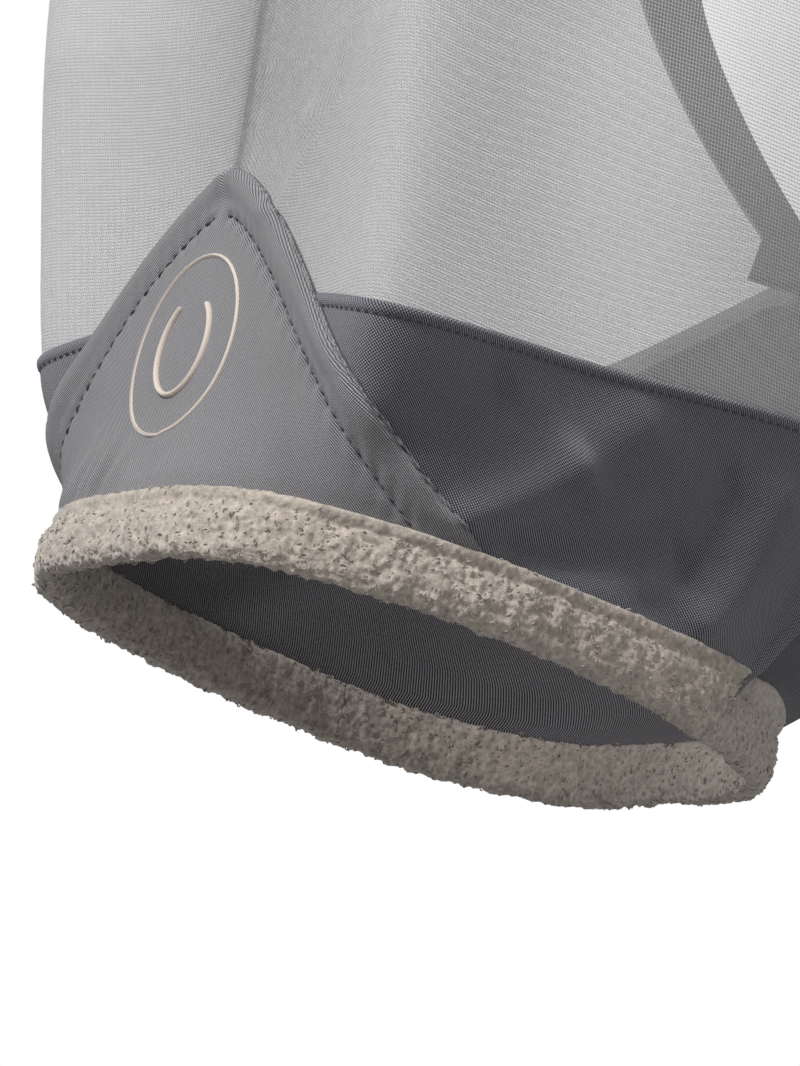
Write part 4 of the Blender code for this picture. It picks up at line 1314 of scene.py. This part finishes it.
class MASK_OT_stage(bpy.types.Operator):
    """Make the pale floor, the soft lights and the camera"""

    bl_idname = "fly_mask.stage"
    bl_label = "Stage"

    def execute(self, context):
        stage = settings().stage
        scene = context.scene
        scene.view_settings.view_transform = "Standard"
        scene.view_settings.look = "None"
        reach, depth = 9.0, -3.0
        corners = np.array([[-reach, -reach, depth], [reach, -reach, depth], [reach, reach, depth],
                            [-reach, reach, depth]])
        floor = mesh_of("floor", corners, np.array([[0, 1, 2, 3]]))
        pale = Nodes("pale_floor")
        paint = pale.tint((0.86, 0.86, 0.86), pale.noise(3.0), 0.97, 1.02)
        pale.join(paint, pale.shader.inputs["Base Color"])
        pale.surface(0.9)
        floor.data.materials.append(pale.material)

        world = bpy.data.worlds.new("studio")
        scene.world = world
        world.use_nodes = True
        tree = world.node_tree
        plain = tree.nodes["Background"]
        plain.inputs["Color"].default_value = (1.0, 1.0, 1.0, 1.0)
        plain.inputs["Strength"].default_value = stage.sky
        seen = tree.nodes.new("ShaderNodeBackground")
        seen.inputs["Color"].default_value = (1.0, 1.0, 1.0, 1.0)
        seen.inputs["Strength"].default_value = 1.0
        path = tree.nodes.new("ShaderNodeLightPath")
        mixed = tree.nodes.new("ShaderNodeMixShader")
        tree.links.new(path.outputs["Is Camera Ray"], mixed.inputs[0])
        tree.links.new(plain.outputs[0], mixed.inputs[1])
        tree.links.new(seen.outputs[0], mixed.inputs[2])
        tree.links.new(mixed.outputs[0], tree.nodes["World Output"].inputs["Surface"])

        azimuth, elevation, roll = stage.azimuth, stage.elevation, stage.roll
        back = np.array([math.sin(azimuth) * math.cos(elevation), -math.cos(azimuth) * math.cos(elevation),
                         math.sin(elevation)])
        right = np.array([math.cos(azimuth), math.sin(azimuth), 0.0])
        above = np.cross(back, right)
        turned_right = math.cos(roll) * right + math.sin(roll) * above
        turned_up = -math.sin(roll) * right + math.cos(roll) * above
        where = back * stage.distance
        facing = -back + math.tan(stage.pan) * turned_right + math.tan(stage.tilt) * turned_up
        facing = facing / np.linalg.norm(facing)
        side = np.cross(facing, turned_up)
        side = side / np.linalg.norm(side)
        top = np.cross(side, facing)
        lens = bpy.data.cameras.new("camera")
        lens.lens = stage.lens
        lens.sensor_width = 36.0
        lens.clip_start = 0.05
        lens.clip_end = 50.0
        camera = bpy.data.objects.new("camera", lens)
        scene.collection.objects.link(camera)
        stand(camera, side, top, -facing, where)
        scene.camera = camera

        def soft_light(name, spot, aim, size, power):
            lamp = bpy.data.lights.new(name, "AREA")
            lamp.shape = "DISK"
            lamp.size = size
            lamp.energy = power
            light = bpy.data.objects.new(name, lamp)
            scene.collection.objects.link(light)
            facing_back = np.array(spot, float) - np.array(aim, float)
            facing_back = facing_back / np.linalg.norm(facing_back)
            across = np.cross([0.0, 0.0, 1.0], facing_back)
            across = across / np.linalg.norm(across)
            over = np.cross(facing_back, across)
            stand(light, across, over, facing_back, spot)

        soft_light("key_light", (0.30, -2.05, 1.35), (0.0, 0.0, 0.05), 0.6, stage.key_power)
        soft_light("side_fill", (2.2, -0.6, 0.6), (0.0, 0.0, 0.05), 1.6, stage.key_power * 0.18)
        return {"FINISHED"}


STEPS = (
    MASK_OT_stage, MASK_OT_net, MASK_OT_nose_band, MASK_OT_patch, MASK_OT_emblem, MASK_OT_fleece,
    MASK_OT_rear_hems, MASK_OT_stitches, MASK_OT_tapes, MASK_OT_throat, MASK_OT_poll,
    MASK_OT_ear_bindings, MASK_OT_darts,
)


class MASK_PT_panel(bpy.types.Panel):
    """Lists the mask's pieces and settings in the sidebar"""

    bl_idname = "MASK_PT_panel"
    bl_label = "Fly Mask"
    bl_space_type = "VIEW_3D"
    bl_region_type = "UI"
    bl_category = "Fly Mask"

    def draw(self, context):
        for step in STEPS:
            self.layout.operator(step.bl_idname, text=step.bl_label)
        mask = context.scene.fly_mask
        for group in (mask.cloth, mask.fleece, mask.stage):
            box = self.layout.box()
            for name in group.__annotations__:
                box.prop(group, name)


CLASSES = (ClothSettings, FleeceSettings, StageSettings, MaskSettings, *STEPS, MASK_PT_panel)


def register():
    for made in CLASSES:
        bpy.utils.register_class(made)
    bpy.types.Scene.fly_mask = bpy.props.PointerProperty(type=MaskSettings)


def unregister():
    del bpy.types.Scene.fly_mask
    for made in reversed(CLASSES):
        bpy.utils.unregister_class(made)


def main():
    register()
    bpy.ops.fly_mask.stage()
    bpy.ops.fly_mask.net()
    bpy.ops.fly_mask.nose_band()
    bpy.ops.fly_mask.patch()
    bpy.ops.fly_mask.emblem()
    bpy.ops.fly_mask.fleece()
    bpy.ops.fly_mask.rear_hems()
    bpy.ops.fly_mask.stitches()
    bpy.ops.fly_mask.tapes()
    bpy.ops.fly_mask.throat()
    bpy.ops.fly_mask.poll()
    bpy.ops.fly_mask.ear_bindings()
    bpy.ops.fly_mask.darts()


if __name__ == "__main__":
    main()
